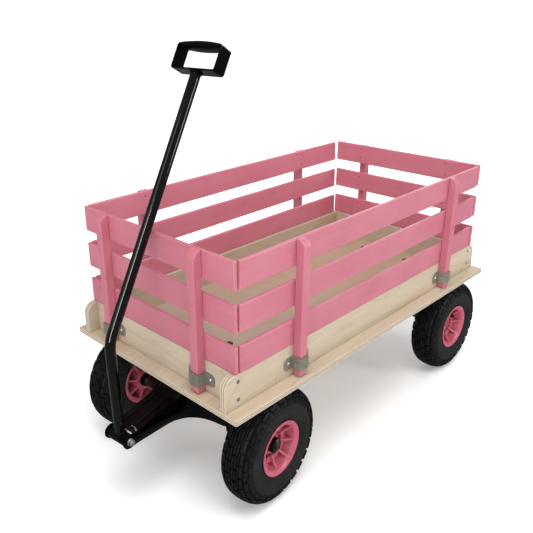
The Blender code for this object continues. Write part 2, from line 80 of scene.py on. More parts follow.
KINGPIN = Vector(JOINTS["steering"]["pos_m"])
PIVOT = Vector(JOINTS["handle_tilt"]["pos_m"])
STEERED_X = Vector(JOINTS["handle_tilt"]["axis"])
STEERED = axes_at((KINGPIN.x, KINGPIN.y, 0.0), STEERED_X)
HANDLE = axes_at(PIVOT, STEERED_X)
SPIN = {w: JOINTS[w + "_wheel_spin"] for w in ("front_right", "front_left", "rear_right", "rear_left")}
WHEEL_R = SPIN["rear_right"]["pos_m"][2]
REAR_Y = SPIN["rear_right"]["pos_m"][1]
PLATE_LOW, PLATE_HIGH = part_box("base_plate")
FLOOR_Z = PLATE_HIGH.z


# ---------------------------------------------------------------- material building
class Look:
    """Short names for a node material measured in metres in the piece's own frame."""

    def __init__(self, name):
        self.mat = bpy.data.materials.new(name)
        self.mat.use_nodes = True
        self.tree = self.mat.node_tree
        self.shader = self.tree.nodes["Principled BSDF"]
        coords = self.add("ShaderNodeTexCoord")
        self.place, self.normal = coords.outputs["Object"], coords.outputs["Normal"]

    def add(self, kind, **settings):
        node = self.tree.nodes.new(kind)
        for key, value in settings.items():
            setattr(node, key, value)
        return node

    def plug(self, socket, value):
        if isinstance(value, bpy.types.NodeSocket):
            self.tree.links.new(value, socket)
        else:
            socket.default_value = value

    def scaled(self, scale, shift=(0.0, 0.0, 0.0)):
        node = self.add("ShaderNodeMapping")
        self.plug(node.inputs["Vector"], self.place)
        node.inputs["Scale"].default_value = scale
        node.inputs["Location"].default_value = shift
        return node.outputs["Vector"]

    def noise(self, vector, scale, detail=3.0, rough=0.5, distortion=0.0):
        node = self.add("ShaderNodeTexNoise")
        self.plug(node.inputs["Vector"], vector)
        for key, value in (("Scale", scale), ("Detail", detail), ("Roughness", rough),
                           ("Distortion", distortion)):
            node.inputs[key].default_value = value
        return node.outputs["Fac"]

    def cells(self, vector, scale):
        node = self.add("ShaderNodeTexVoronoi")
        self.plug(node.inputs["Vector"], vector)
        node.inputs["Scale"].default_value = scale
        return node.outputs["Distance"], node.outputs["Color"]

    def math(self, operation, a, b=0.0):
        node = self.add("ShaderNodeMath", operation=operation)
        for socket, value in zip(node.inputs, (a, b)):
            self.plug(socket, value)
        return node.outputs[0]

    def span(self, value, low, high, to_low=0.0, to_high=1.0):
        node = self.add("ShaderNodeMapRange", clamp=True)
        for socket, v in zip(node.inputs, (value, low, high, to_low, to_high)):
            self.plug(socket, v)
        return node.outputs[0]

    def mix(self, share, a, b):
        node = self.add("ShaderNodeMix", data_type="RGBA")
        self.plug(node.inputs[0], share)
        for socket, value in zip(node.inputs[6:8], (a, b)):
            self.plug(socket, value if isinstance(value, bpy.types.NodeSocket) else (*value, 1.0))
        return node.outputs[2]

    def part(self, vector, axis):
        node = self.add("ShaderNodeSeparateXYZ")
        self.plug(node.inputs[0], vector)
        return node.outputs[axis]

    def edge(self, radius):
        """1 along the piece's edges, 0 on its flats."""
        worn = self.add("ShaderNodeBevel", samples=4)
        worn.inputs["Radius"].default_value = radius
        flat = self.add("ShaderNodeNewGeometry").outputs["Normal"]
        dot = self.add("ShaderNodeVectorMath", operation="DOT_PRODUCT")
        self.plug(dot.inputs[0], worn.outputs[0])
        self.plug(dot.inputs[1], flat)
        return self.span(dot.outputs["Value"], 0.99, 0.90)

    def bump(self, *heights):
        """heights: (height, distance in metres) pairs, stacked."""
        normal = None
        for height, distance in heights:
            node = self.add("ShaderNodeBump")
            node.inputs["Strength"].default_value = 1.0
            node.inputs["Distance"].default_value = distance
            self.plug(node.inputs["Height"], height)
            if normal:
                self.plug(node.inputs["Normal"], normal)
            normal = node.outputs[0]
        self.plug(self.shader.inputs["Normal"], normal)

    def done(self, colour, roughness, metallic=0.0, **fixed):
        self.plug(self.shader.inputs["Base Color"],
                  colour if isinstance(colour, bpy.types.NodeSocket) else (*colour, 1.0))
        self.plug(self.shader.inputs["Roughness"], roughness)
        self.shader.inputs["Metallic"].default_value = metallic
        for key, value in fixed.items():
            self.shader.inputs[key.replace("_", " ")].default_value = value
        return self.mat


def stretch(grain, along=0.07):
    return tuple(along if axis == grain else 1.0 for axis in range(3))


PLY_LIGHT, PLY_MID, PLY_DARK = (0.535, 0.445, 0.335), (0.465, 0.368, 0.262), (0.350, 0.245, 0.150)
PLY_PALE, PLY_WARM = (0.60, 0.53, 0.42), (0.42, 0.25, 0.135)
PLY_SPECK, KNOT_RING, KNOT_HEART = (0.15, 0.10, 0.07), (0.40, 0.27, 0.16), (0.16, 0.09, 0.05)
EDGE_ALONG, EDGE_ACROSS = (0.580, 0.500, 0.390), (0.400, 0.310, 0.215)
EDGE_PORE, EDGE_GLUE = (0.22, 0.15, 0.09), (0.27, 0.18, 0.12)
# painted shade and pink bounce light for the floor inside the tray: greyer at the front, warmer at the rear
TRAY_SHADE_FRONT, TRAY_SHADE_REAR = (0.335, 0.262, 0.215), (0.42, 0.275, 0.180)
TRAY_HALF_X, TRAY_HALF_Y = 0.2245, 0.4550


def ply_face(look, grain, shift):
    """Face veneer: fibres, streaks, late-wood rings, warm patches, specks and small knots."""
    fibre = look.noise(look.scaled(stretch(grain, 0.035), shift), 420.0, 4.0, 0.65)
    streak = look.noise(look.scaled(stretch(grain, 0.06), shift), 55.0, 4.0, 0.6)
    wide = look.noise(look.scaled(stretch(grain, 0.30), shift), 7.5, 2.0, 0.45, 0.4)
    rings = look.math("PINGPONG", look.math("MULTIPLY", wide, 22.0), 1.0)
    late = look.span(rings, 0.78, 1.0)
    blotch = look.noise(look.scaled((1.0, 1.0, 1.0), shift), 5.0, 2.0)
    warm = look.noise(look.scaled(stretch(grain, 0.16), shift), 13.0, 3.0, 0.55)
    face = look.mix(look.span(streak, 0.30, 0.75), PLY_LIGHT, PLY_MID)
    face = look.mix(look.math("MULTIPLY", late, 0.30), face, PLY_DARK)
    face = look.mix(look.span(blotch, 0.45, 0.75, 0.0, 0.22), face, PLY_PALE)
    face = look.mix(look.span(fibre, 0.60, 0.85, 0.0, 0.28), face, PLY_DARK)
    face = look.mix(look.span(warm, 0.54, 0.70, 0.0, 0.50), face, PLY_WARM)
    near, chance = look.cells(look.scaled(stretch(grain, 0.45), shift), 42.0)
    speck = look.math("MULTIPLY", look.span(near, 0.090, 0.045, 0.0, 0.75),
                      look.math("GREATER_THAN", look.part(chance, 1), 0.72))
    face = look.mix(speck, face, PLY_SPECK)
    near, chance = look.cells(look.scaled(stretch(grain, 0.55), shift), 11.0)
    chosen = look.math("GREATER_THAN", look.part(chance, 0), 0.66)
    ring = look.math("MULTIPLY", look.span(near, 0.070, 0.025, 0.0, 0.45), chosen)
    heart = look.math("MULTIPLY", look.span(near, 0.024, 0.012, 0.0, 0.80), chosen)
    face = look.mix(heart, look.mix(ring, face, KNOT_RING), KNOT_HEART)
    return face, fibre, streak, late


def ply_edge(look, depth, low, high, plies):
    """Sawn edge: plies in turn along and across the grain, with broken dark glue lines."""
    level = look.span(look.part(look.place, depth), low, high, 0.0, float(plies))
    odd = look.math("MODULO", look.math("FLOOR", look.math("ADD", level, 0.001)), 2.0)
    inside = look.math("ABSOLUTE", look.math("SUBTRACT", look.math("FRACT", level), 0.5))
    glue = look.span(inside, 0.40, 0.49)
    pores = look.noise(look.place, 700.0, 3.0, 0.7)
    gaps = look.noise(look.place, 60.0, 2.0)
    edge = look.mix(odd, EDGE_ALONG, EDGE_ACROSS)
    edge = look.mix(look.math("MULTIPLY", odd, look.span(pores, 0.50, 0.72, 0.0, 0.55)), edge, EDGE_PORE)
    edge = look.mix(look.math("MULTIPLY", glue, look.span(gaps, 0.35, 0.60, 0.10, 0.60)), edge, EDGE_GLUE)
    return edge, glue


def paint_tray_shade(look, colour, middle):
    """Painted shade and pink bounce light on the tray's floor, about the middle along Y: greyer at the
    front, warmer at the rear.
    """
    across = look.math("ABSOLUTE", look.part(look.place, 0))
    along = look.math("SUBTRACT", look.part(look.place, 1), middle)
    tray = look.math("MULTIPLY", look.math("LESS_THAN", across, TRAY_HALF_X),
                     look.math("LESS_THAN", look.math("ABSOLUTE", along), TRAY_HALF_Y))
    painted_tray_shade = look.mix(look.span(along, -0.32, 0.10), TRAY_SHADE_FRONT, TRAY_SHADE_REAR)
    return look.mix(look.math("MULTIPLY", tray, 0.60), colour, painted_tray_shade)


def plywood(name, depth, low, high, plies, grain, seed, tray_shade_middle=None):
    """Bare rotary-cut plywood: depth is the axis through its plies, from low to high; given the tray's
    middle along Y, shade and pink bounce light are painted on its tray floor.
    """
    look = Look(name)
    face, fibre, streak, late = ply_face(look, grain, (seed * 1.7, seed * 0.9, seed * 2.3))
    edge, glue = ply_edge(look, depth, low, high, plies)
    side = look.math("LESS_THAN", look.math("ABSOLUTE", look.part(look.normal, depth)), 0.6)
    colour = look.mix(side, face, edge)
    # painted shade and pink bounce light on the floor inside the tray
    if tray_shade_middle is not None:
        colour = paint_tray_shade(look, colour, tray_shade_middle)
    look.bump((look.math("ADD", fibre, look.math("MULTIPLY", late, 0.5)), 0.00010),
              (look.math("MULTIPLY", look.math("MULTIPLY", glue, side), -1.0), 0.00035))
    return look.done(colour, look.span(streak, 0.2, 0.8, 0.52, 0.68))


PINK, PINK_DEEP, PINK_THIN = (0.535, 0.158, 0.212), (0.490, 0.128, 0.180), (0.580, 0.225, 0.280)


def painted(name, grain, seed, lift=1.0):
    """Pink paint over sanded softwood: the grain shows faintly through it; lift brightens the whole paint as
    painted light.
    """
    look = Look(name)
    base, deep, thin = (tuple(c * lift for c in tone) for tone in (PINK, PINK_DEEP, PINK_THIN))
    shift = (seed * 3.1, seed * 1.3, seed * 0.7)
    fibre = look.noise(look.scaled(stretch(grain, 0.03), shift), 380.0, 4.0, 0.6)
    streak = look.noise(look.scaled(stretch(grain, 0.10), shift), 45.0, 3.0)
    cloud = look.noise(look.scaled((1.0, 1.0, 1.0), shift), 9.0, 3.0)
    spray = look.noise(look.scaled((1.0, 1.0, 1.0), shift), 1500.0, 2.0)
    colour = look.mix(look.span(cloud, 0.30, 0.70), base, deep)
    colour = look.mix(look.span(streak, 0.45, 0.80, 0.0, 0.30), colour, thin)
    colour = look.mix(look.span(fibre, 0.62, 0.86, 0.0, 0.35), colour, deep)
    flakes = look.span(look.noise(look.place, 160.0, 4.0, 0.7), 0.66, 0.72)
    chips = look.math("MULTIPLY", look.edge(0.0011), flakes)
    colour = look.mix(look.math("MULTIPLY", look.edge(0.0016), 0.30), colour, thin)
    colour = look.mix(look.math("MULTIPLY", chips, 0.65), colour, (0.55, 0.42, 0.32))
    look.bump((fibre, 0.00012), (streak, 0.00025), (spray, 0.00003))
    return look.done(colour, look.span(cloud, 0.3, 0.7, 0.42, 0.55), Coat_Weight=0.30, Coat_Roughness=0.40)


def enamel(name, colour, deep, rough, peel=0.00003, ior=1.20):
    """Sprayed gloss enamel or powder coat with orange peel and dust; its edges get a lighter copy of the
    paint, partly thin wear, partly a painted highlight.
    """
    look = Look(name)
    cloud = look.noise(look.place, 30.0, 3.0)
    skin = look.noise(look.place, 520.0, 2.0, 0.4)
    dust = look.noise(look.place, 2200.0, 2.0)
    shade = look.mix(look.span(cloud, 0.35, 0.7), colour, deep)
    # painted highlight along the edges, partly thin wear: the paint made lighter where the bevel finds an
    # edge
    lit = tuple(min(1.0, 0.008 + 1.3 * c) for c in colour)
    shade = look.mix(look.math("MULTIPLY", look.edge(0.0006), 0.35), shade, lit)
    shade = look.mix(look.span(dust, 0.70, 0.80, 0.0, 0.03), shade, (0.45, 0.43, 0.40))
    look.bump((skin, peel), (cloud, 0.0002))
    return look.done(shade, look.span(cloud, 0.3, 0.7, rough, rough + 0.06), IOR=ior)


def rub_and_highlight_steel(name):
    """Paint rubbed through to steel by the tongue's notch; the silver also stands in for the sheet edge's
    highlight, partly wear, partly a painted highlight.
    """
    look = Look(name)
    rub = look.span(look.noise(look.place, 240.0, 4.0, 0.7), 0.46, 0.54)
    shade = look.mix(rub, (0.010, 0.010, 0.011), (0.62, 0.60, 0.57))
    look.bump((look.noise(look.place, 900.0, 2.0), 0.0002))
    return look.done(shade, 0.38, 0.5)


# painted shade for the tread's grooves
GROOVE_SHADE_BLACK = (0.0026, 0.0028, 0.0034)


def rubber(name, tone, dust_tone, worn_from=0.0):
    """Matt black rubber with a dusty bloom; from the given radius outwards it is painted deep black, a
    painted shade for the grooves between the tread blocks.
    """
    look = Look(name)
    cloud = look.noise(look.place, 22.0, 4.0, 0.6)
    grit = look.noise(look.place, 1400.0, 3.0, 0.7)
    shade = look.mix(look.span(cloud, 0.35, 0.75), tone, dust_tone)
    shade = look.mix(look.span(grit, 0.66, 0.80, 0.0, 0.12), shade, (0.040, 0.039, 0.038))
    # painted shade: the carcass turns deep black outwards from the given radius, where it lies between the
    # tread blocks
    if worn_from:
        flat = look.add("ShaderNodeVectorMath", operation="MULTIPLY")
        look.plug(flat.inputs[0], look.place)
        flat.inputs[1].default_value = (0.0, 1.0, 1.0)
        radius = look.add("ShaderNodeVectorMath", operation="LENGTH")
        look.plug(radius.inputs[0], flat.outputs["Vector"])
        shade = look.mix(look.span(radius.outputs["Value"], worn_from, worn_from + 0.014), shade,
                         GROOVE_SHADE_BLACK)
    look.bump((grit, 0.00008), (cloud, 0.0004))
    return look.done(shade, look.span(cloud, 0.3, 0.7, 0.42, 0.56), IOR=1.21)


def plated(name, colour, dark, rough, scale=180.0, metallic=1.0):
    """Zinc plate: mottled crystals, a brushed haze and dull edges."""
    look = Look(name)
    near, tint = look.cells(look.place, scale)
    haze = look.noise(look.scaled((1.0, 1.0, 0.08)), 900.0, 3.0, 0.6)
    stain = look.noise(look.place, 70.0, 4.0, 0.6)
    shade = look.mix(look.span(look.part(tint, 0), 0.0, 1.0, 0.0, 0.35), colour, dark)
    shade = look.mix(look.span(stain, 0.52, 0.72, 0.0, 0.65), shade, dark)
    bright = tuple(min(1.0, c * 1.5) for c in colour)
    shade = look.mix(look.math("MULTIPLY", look.edge(0.0005), 0.5), shade, bright)
    look.bump((haze, 0.00004), (near, 0.00006))
    return look.done(shade, look.span(stain, 0.3, 0.7, rough, rough + 0.22), metallic)


def moulded(name, tone, rough):
    look = Look(name)
    grain = look.noise(look.place, 1600.0, 2.0, 0.5)
    cloud = look.noise(look.place, 40.0, 3.0)
    shade = look.mix(look.span(cloud, 0.35, 0.7), tone, tuple(c * 1.5 + 0.001 for c in tone))
    look.bump((grain, 0.00008), (cloud, 0.0002))
    return look.done(shade, look.span(cloud, 0.3, 0.7, rough, rough + 0.12), IOR=1.20)


PAINT_BLACK = ((0.0010, 0.0010, 0.0011), (0.0007, 0.0007, 0.0008))
BLACK = enamel("black_enamel", *PAINT_BLACK, 0.09)
GLOSS_BLACK = enamel("gloss_black_enamel", *PAINT_BLACK, 0.06, 0.00002, 1.44)
RIM_PINK = enamel("pink_enamel", (0.500, 0.108, 0.158), (0.460, 0.088, 0.136), 0.26, 0.00003, 1.42)
# the tyre's carcass gets painted groove shade beyond radius 0.104; the tread blocks' rubber is a lighter
# black than that shade
TYRE_BLACK = rubber("tyre_rubber", (0.0120, 0.0123, 0.0132), (0.0230, 0.0230, 0.0230), 0.104)
TREAD_BLACK = rubber("tread_rubber", (0.0052, 0.0057, 0.0070), (0.0082, 0.0088, 0.0102))
STEM_BLACK = rubber("stem_rubber", (0.004, 0.004, 0.004), (0.008, 0.008, 0.008))
BRACKET = plated("bracket_zinc", (0.36, 0.355, 0.300), (0.20, 0.195, 0.160), 0.38, 150.0, 0.75)
BRIGHT = plated("bright_zinc", (0.70, 0.71, 0.72), (0.42, 0.42, 0.42), 0.22, 260.0)
BLUE_ZINC = plated("blue_zinc", (0.050, 0.095, 0.135), (0.030, 0.045, 0.060), 0.34, 300.0, 0.7)
GREY_ZINC = plated("grey_zinc", (0.30, 0.30, 0.29), (0.15, 0.15, 0.14), 0.34, 300.0)
DARK_BOLT = plated("dark_bolt", (0.060, 0.057, 0.054), (0.030, 0.028, 0.026), 0.42, 220.0, 0.8)
PLASTIC = moulded("black_plastic", (0.0012, 0.0012, 0.0013), 0.30)
WELD = enamel("weld_enamel", (0.0018, 0.0018, 0.0019), (0.0012, 0.0012, 0.0012), 0.24, 0.0003)
# silver steel on the tongue: partly rubbed paint, partly a painted highlight of the sheet's front edge
RUB_AND_HIGHLIGHT = rub_and_highlight_steel("rubbed_steel_and_highlight")


# ---------------------------------------------------------------- mesh building
def as_mesh(name, bm):
    """The finished mesh, with its faces turned outwards."""
    bmesh.ops.recalc_face_normals(bm, faces=bm.faces)
    mesh = bpy.data.meshes.new(name)
    bm.to_mesh(mesh)
    bm.free()
    return mesh


def to_object(name, bm, mat, body, matrix=None, sharp=35.0, replaces=()):
    return from_mesh(name, as_mesh(name, bm), mat, body, matrix, sharp, replaces)


def from_mesh(name, mesh, mat, body, matrix=None, sharp=35.0, replaces=()):
    obj = bpy.data.objects.new(name, mesh)
    bpy.context.scene.collection.objects.link(obj)
    if not mesh.materials:
        mesh.materials.append(mat)
        mesh.shade_smooth()
        mesh.set_sharp_from_angle(angle=math.radians(sharp))
    if matrix is not None:
        obj.matrix_world = matrix
    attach(obj, body)
    if replaces:
        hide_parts(*replaces)
    return obj


def grid(bm, rows, closed_u=False, closed_v=False):
    """Faces between rows of points; u runs along a row and v from row to row."""
    made = [[bm.verts.new(p) for p in row] for row in rows]
    last_v = len(made) if closed_v else len(made) - 1
    for i in range(last_v):
        a, b = made[i], made[(i + 1) % len(made)]
        last_u = len(a) if closed_u else len(a) - 1
        for j in range(last_u):
            k = (j + 1) % len(a)
            bm.faces.new((a[j], a[k], b[k], b[j]))
    return made


def loft(bm, rows):
    """Closed rows joined one after another and capped at both ends."""
    made = grid(bm, rows, closed_u=True)
    bm.faces.new(made[0][::-1])
    bm.faces.new(made[-1])


def turn(bm, profile, segments, closed=False, matrix=Matrix.Identity(4)):
    """(radius, x) profile turned about X; open ends with radius 0 are closed to a point."""
    rows = []
    for k in range(segments):
        a = 2.0 * math.pi * k / segments
        rows.append([matrix @ Vector((x, r * math.cos(a), r * math.sin(a))) for r, x in profile])
    grid(bm, rows, closed_u=closed, closed_v=True)
    bmesh.ops.remove_doubles(bm, verts=bm.verts, dist=0.000005)


def rounded(profile, radius, steps=3):
    """The closed profile with each corner replaced by a short arc."""
    out = []
    for i, point in enumerate(profile):
        p = Vector(point)
        a, b = Vector(profile[i - 1]) - p, Vector(profile[(i + 1) % len(profile)]) - p
        cut = min(radius, a.length * 0.45, b.length * 0.45)
        start, end = p + a.normalized() * cut, p + b.normalized() * cut
        for k in range(steps + 1):
            t = k / steps
            out.append(tuple(start * (1 - t) ** 2 + p * 2 * t * (1 - t) + end * t ** 2))
    return out


def round_section(p, side, other, radius, sides, wobble, key):
    """A ring of points about p in the plane of side and other; wobble makes it as uneven as a weld."""
    row = []
    for k in range(sides):
        a = 2.0 * math.pi * k / sides
        r = radius
        if wobble:
            r *= 1.0 + wobble * field.noise(Vector((key, math.cos(a), math.sin(a))))
        row.append(p + side * r * math.cos(a) + other * r * math.sin(a))
    return row


def tube(bm, points, radius, sides=16, wobble=0.0, seed=0):
    """A round rod along points; radius is a number or one number for each point."""
    points = [Vector(p) for p in points]
    radii = radius if isinstance(radius, (list, tuple)) else [radius] * len(points)
    side = None
    rows = []
    for i, p in enumerate(points):
        ahead = (points[min(i + 1, len(points) - 1)] - points[max(i - 1, 0)]).normalized()
        if side is None:
            side = ahead.cross(UP if abs(ahead.z) < 0.9 else Vector((1.0, 0.0, 0.0))).normalized()
        side = (side - ahead * side.dot(ahead)).normalized()
        rows.append(round_section(p, side, ahead.cross(side), radii[i], sides, wobble, i * 0.45 + seed))
    loft(bm, rows)


def ring_tube(bm, points, radius, sides=10, wobble=0.0, seed=0):
    """As tube, round a closed path that lies roughly in one plane."""
    points = [Vector(p) for p in points]
    count = len(points)
    centre = sum(points, Vector()) / count
    rows = []
    for i, p in enumerate(points):
        ahead = (points[(i + 1) % count] - points[i - 1]).normalized()
        out = p - centre
        out = (out - ahead * out.dot(ahead)).normalized()
        rows.append(round_section(p, out, ahead.cross(out), radius, sides, wobble, i * 0.55 + seed))
    grid(bm, rows, closed_u=True, closed_v=True)


def soften(obj, width, segments=2, degrees=40.0):
    mod = obj.modifiers.new("soft_edges", "BEVEL")
    mod.width = width
    mod.segments = segments
    mod.limit_method = "ANGLE"
    mod.angle_limit = math.radians(degrees)


CAGE_Y = (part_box("end_board_front")[0].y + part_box("end_board_rear")[1].y) / 2


# ---------------------------------------------------------------- boards
PLIES = 5
DECK_CORNER_R, BOARD_CORNER_R = 0.0045, 0.0250


def board(node, name, depth, round_axis, seed):
    """A plywood board with its top corners rounded, or the deck's four seen from above."""
    low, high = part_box(node)
    size, centre = high - low, (low + high) / 2
    bm = bmesh.new()
    bmesh.ops.create_cube(bm, size=1.0, matrix=Matrix.Translation(centre) @ Matrix.Diagonal((*size, 1.0)))
    if round_axis == 2:
        edges = [e for e in bm.edges if abs(e.verts[0].co.z - e.verts[1].co.z) > 0.001]
        bmesh.ops.bevel(bm, geom=edges, offset=DECK_CORNER_R, segments=8, affect="EDGES", profile=0.5)
    elif round_axis == 0:
        edges = [e for e in bm.edges if abs(e.verts[0].co.x - e.verts[1].co.x) > 0.001
                 and e.verts[0].co.z > centre.z]
        bmesh.ops.bevel(bm, geom=edges, offset=BOARD_CORNER_R, segments=16, affect="EDGES", profile=0.5)
    grain = 0 if size.x > size.y else 1
    # only the deck gets painted shade on its tray floor, about the cage's middle along Y
    tray_shade_middle = CAGE_Y if node == "base_plate" else None
    mat = plywood(name, depth, low[depth], high[depth], PLIES, grain, seed, tray_shade_middle)
    obj = to_object(name, bm, mat, "wagon", replaces=(node,))
    soften(obj, 0.0008, 2, 60.0)


board("base_plate", "deck_board", 2, 2, 1.0)
board("side_board_right", "side_board_right_ply", 0, 0, 2.0)
board("side_board_left", "side_board_left_ply", 0, 0, 3.0)
board("end_board_front", "end_board_front_ply", 1, None, 4.0)
board("end_board_rear", "end_board_rear_ply", 1, None, 5.0)


# ---------------------------------------------------------------- slats, posts and brackets of the CAD
def coats(name, grain, seeds, lift=1.0):
    return [painted("%s_paint_%d" % (name, k), grain, seed, lift) for k, seed in enumerate(seeds)]


# the left and rear panels' paint is 1.16 times brighter: painted light, so their inner faces read lighter
# than their shade
SLAT_PAINT = {"right": coats("side_slat", 1, (0, 1, 2)), "left": coats("left_slat", 1, (10, 11, 12), 1.16),
              "front": coats("end_slat", 0, (3, 4, 5)), "rear": coats("rear_slat", 0, (13, 14, 15), 1.16)}
POST_PAINT = coats("post", 2, (6, 7))
for index, (node, obj) in enumerate(sorted(NODES.items())):
    if "_slat_" in node:
        mat = SLAT_PAINT[node.split("_")[0]][index % 3]
    elif "_post_" in node:
        mat = POST_PAINT[index % 2]
    elif node.startswith("bracket"):
        mat = BRACKET
    elif node == "kingpin":
        mat = DARK_BOLT
    else:
        mat = BLACK
    obj.data.materials.clear()
    obj.data.materials.append(mat)


# ---------------------------------------------------------------- tyres
TREAD_DEPTH = 0.0042
TREAD_FADE_FROM, TREAD_FADE_TO = 0.0460, 0.0640
PITCHES = 28
BLOCK_GAP, BLOCK_TAPER, BLOCK_STEPS = 0.0016, 0.0011, 3
AROUND_TYRE, VENT_HAIRS = 112, 22
TYRE_LINE = [(0.0, 0.1303), (0.0090, 0.1301), (0.0175, 0.1289), (0.0245, 0.1264), (0.0300, 0.1228),
             (0.0342, 0.1177), (0.0370, 0.1112), (0.0388, 0.1035), (0.0394, 0.0950), (0.0390, 0.0865),
             (0.0376, 0.0785), (0.0352, 0.0712), (0.0326, 0.0662), (0.0312, 0.0636)]


def line_at(s):
    """Point (x, r) and outward normal at length s along the tyre's half section, from its crown."""
    walked = 0.0
    for a, b in zip(TYRE_LINE, TYRE_LINE[1:]):
        length = math.dist(a, b)
        if walked + length >= s or b == TYRE_LINE[-1]:
            t = min(1.0, (s - walked) / length)
            x, r = a[0] + (b[0] - a[0]) * t, a[1] + (b[1] - a[1]) * t
            nx, nr = -(b[1] - a[1]) / length, (b[0] - a[0]) / length
            return x, r, nx, nr
        walked += length


def tyre_point(s, angle, height):
    """Signed s walks from the crown to either side; height is above the grooves' floor."""
    x, r, nx, nr = line_at(abs(s))
    groove = (TREAD_FADE_TO - abs(s)) / (TREAD_FADE_TO - TREAD_FADE_FROM)
    lift = height - TREAD_DEPTH * max(0.0, min(1.0, groove))
    x, r = x + nx * lift, r + nr * lift
    return Vector((x if s >= 0 else -x, r * math.sin(angle), r * math.cos(angle)))


def outline_of(rows):
    """The points round the border of a patch of rows."""
    return rows[0] + [r[-1] for r in rows[1:-1]] + rows[-1][::-1] + [r[0] for r in rows[-2:0:-1]]


def tread_block(bm, s0, s1, a0, a1, height, skew):
    """One raised block with sloping sides; skew turns its ends round the wheel."""

    def patch(inset, lift):
        turn_in = inset / WHEEL_R
        rows = []
        for i in range(BLOCK_STEPS + 1):
            s = s0 + inset + (s1 - s0 - 2 * inset) * i / BLOCK_STEPS
            lean = skew * ((s - s0) / (s1 - s0) - 0.5)
            rows.append([tyre_point(s, a0 + turn_in + (a1 - a0 - 2 * turn_in) * j / BLOCK_STEPS + lean, lift)
                         for j in range(BLOCK_STEPS + 1)])
        return rows

    rings = [outline_of(grid(bm, patch(BLOCK_TAPER, height)))]
    for inset, lift in ((BLOCK_TAPER * 0.45, height - 0.0006), (-0.0002, -0.0004)):
        rings.append([bm.verts.new(p) for p in outline_of(patch(inset, lift))])
    for a, b in zip(rings, rings[1:]):
        for k in range(len(a)):
            n = (k + 1) % len(a)
            bm.faces.new((a[k], a[n], b[n], b[k]))
    bm.faces.new(rings[-1][::-1])


# one side's blocks: from and to along the section, from and to in pitches, height, skew
TREAD_ROWS = [(0.0008, 0.0066, 0.00, 1.00, TREAD_DEPTH, 0.006),
              (0.0080, 0.0138, 0.04, 0.96, TREAD_DEPTH, 0.006),
              (0.0158, 0.0194, 0.42, 1.34, TREAD_DEPTH, 0.004),
              (0.0204, 0.0282, 0.42, 1.34, TREAD_DEPTH, 0.008),
              (0.0308, 0.0405, 0.02, 0.93, TREAD_DEPTH, 0.010),
              (0.0422, 0.0502, 0.08, 0.80, TREAD_DEPTH * 0.70, 0.012)]
TREAD_ROWS += [(0.0512, 0.0556, 0.06 + third / 3, 0.33 + third / 3, 0.0013, 0.0) for third in range(3)]


def add_tread(bm):
    pitch, gap = 2.0 * math.pi / PITCHES, BLOCK_GAP / WHEEL_R
    for k in range(PITCHES):
        for sign in (-1, 1):
            start = (k + (0.5 if sign > 0 else 0.0)) * pitch
            for low, high, from_a, to_a, height, skew in TREAD_ROWS:
                s0, s1 = (low, high) if sign > 0 else (-high, -low)
                tread_block(bm, s0, s1, start + from_a * pitch + gap, start + to_a * pitch - gap, height,
                            skew * sign)


def add_vent_hairs(bm):
    """Thin bent hairs of rubber left by the mould's vents."""
    rand = random.Random(7)
    for _ in range(VENT_HAIRS):
        a = rand.uniform(0.0, 2.0 * math.pi)
        s = rand.choice((-1, 1)) * rand.choice((0.0535, 0.0545, 0.0700, 0.0302))
        foot = tyre_point(s, a, 0.0)
        out = (tyre_point(s, a, 0.004) - foot).normalized()
        bend = Vector((rand.uniform(-1, 1), rand.uniform(-1, 1), rand.uniform(-1, 1))) * 0.0009
        long = rand.uniform(0.0025, 0.0050)
        tube(bm, [foot, foot + out * long * 0.5 + bend * 0.3, foot + out * long + bend], 0.00035, 5)


def tyre_mesh():
    """Carcass, mould lines and vent hairs in one rubber with painted shade in its grooves, tread blocks in a
    deeper one that stays lighter than that shade.
    """
    bm = bmesh.new()
    total = sum(math.dist(a, b) for a, b in zip(TYRE_LINE, TYRE_LINE[1:]))
    steps = [total * k / 26 for k in range(27)]
    across = [-s for s in reversed(steps[1:])] + steps
    bead = [(0.0300, 0.0600), (0.0240, 0.0560), (0.0, 0.0555), (-0.0240, 0.0560), (-0.0300, 0.0600)]
    turns = [2.0 * math.pi * k / AROUND_TYRE for k in range(AROUND_TYRE)]
    grid(bm, [[tyre_point(s, a, 0.0) for s in across]
              + [Vector((x, r * math.sin(a), r * math.cos(a))) for x, r in bead] for a in turns],
         closed_u=True, closed_v=True)
    carcass = len(bm.faces)
    add_tread(bm)
    bm.faces.ensure_lookup_table()
    for face in bm.faces[carcass:]:
        face.material_index = 1
    for s in (0.0555, -0.0555, 0.0940, -0.0940):
        ring_tube(bm, [tyre_point(s, a, 0.0003) for a in turns], 0.0008, 6)
    add_vent_hairs(bm)
    mesh = as_mesh("treaded_tyre", bm)
    mesh.materials.append(TYRE_BLACK)
    mesh.materials.append(TREAD_BLACK)
    mesh.shade_smooth()
    mesh.set_sharp_from_angle(angle=math.radians(30.0))
    return mesh


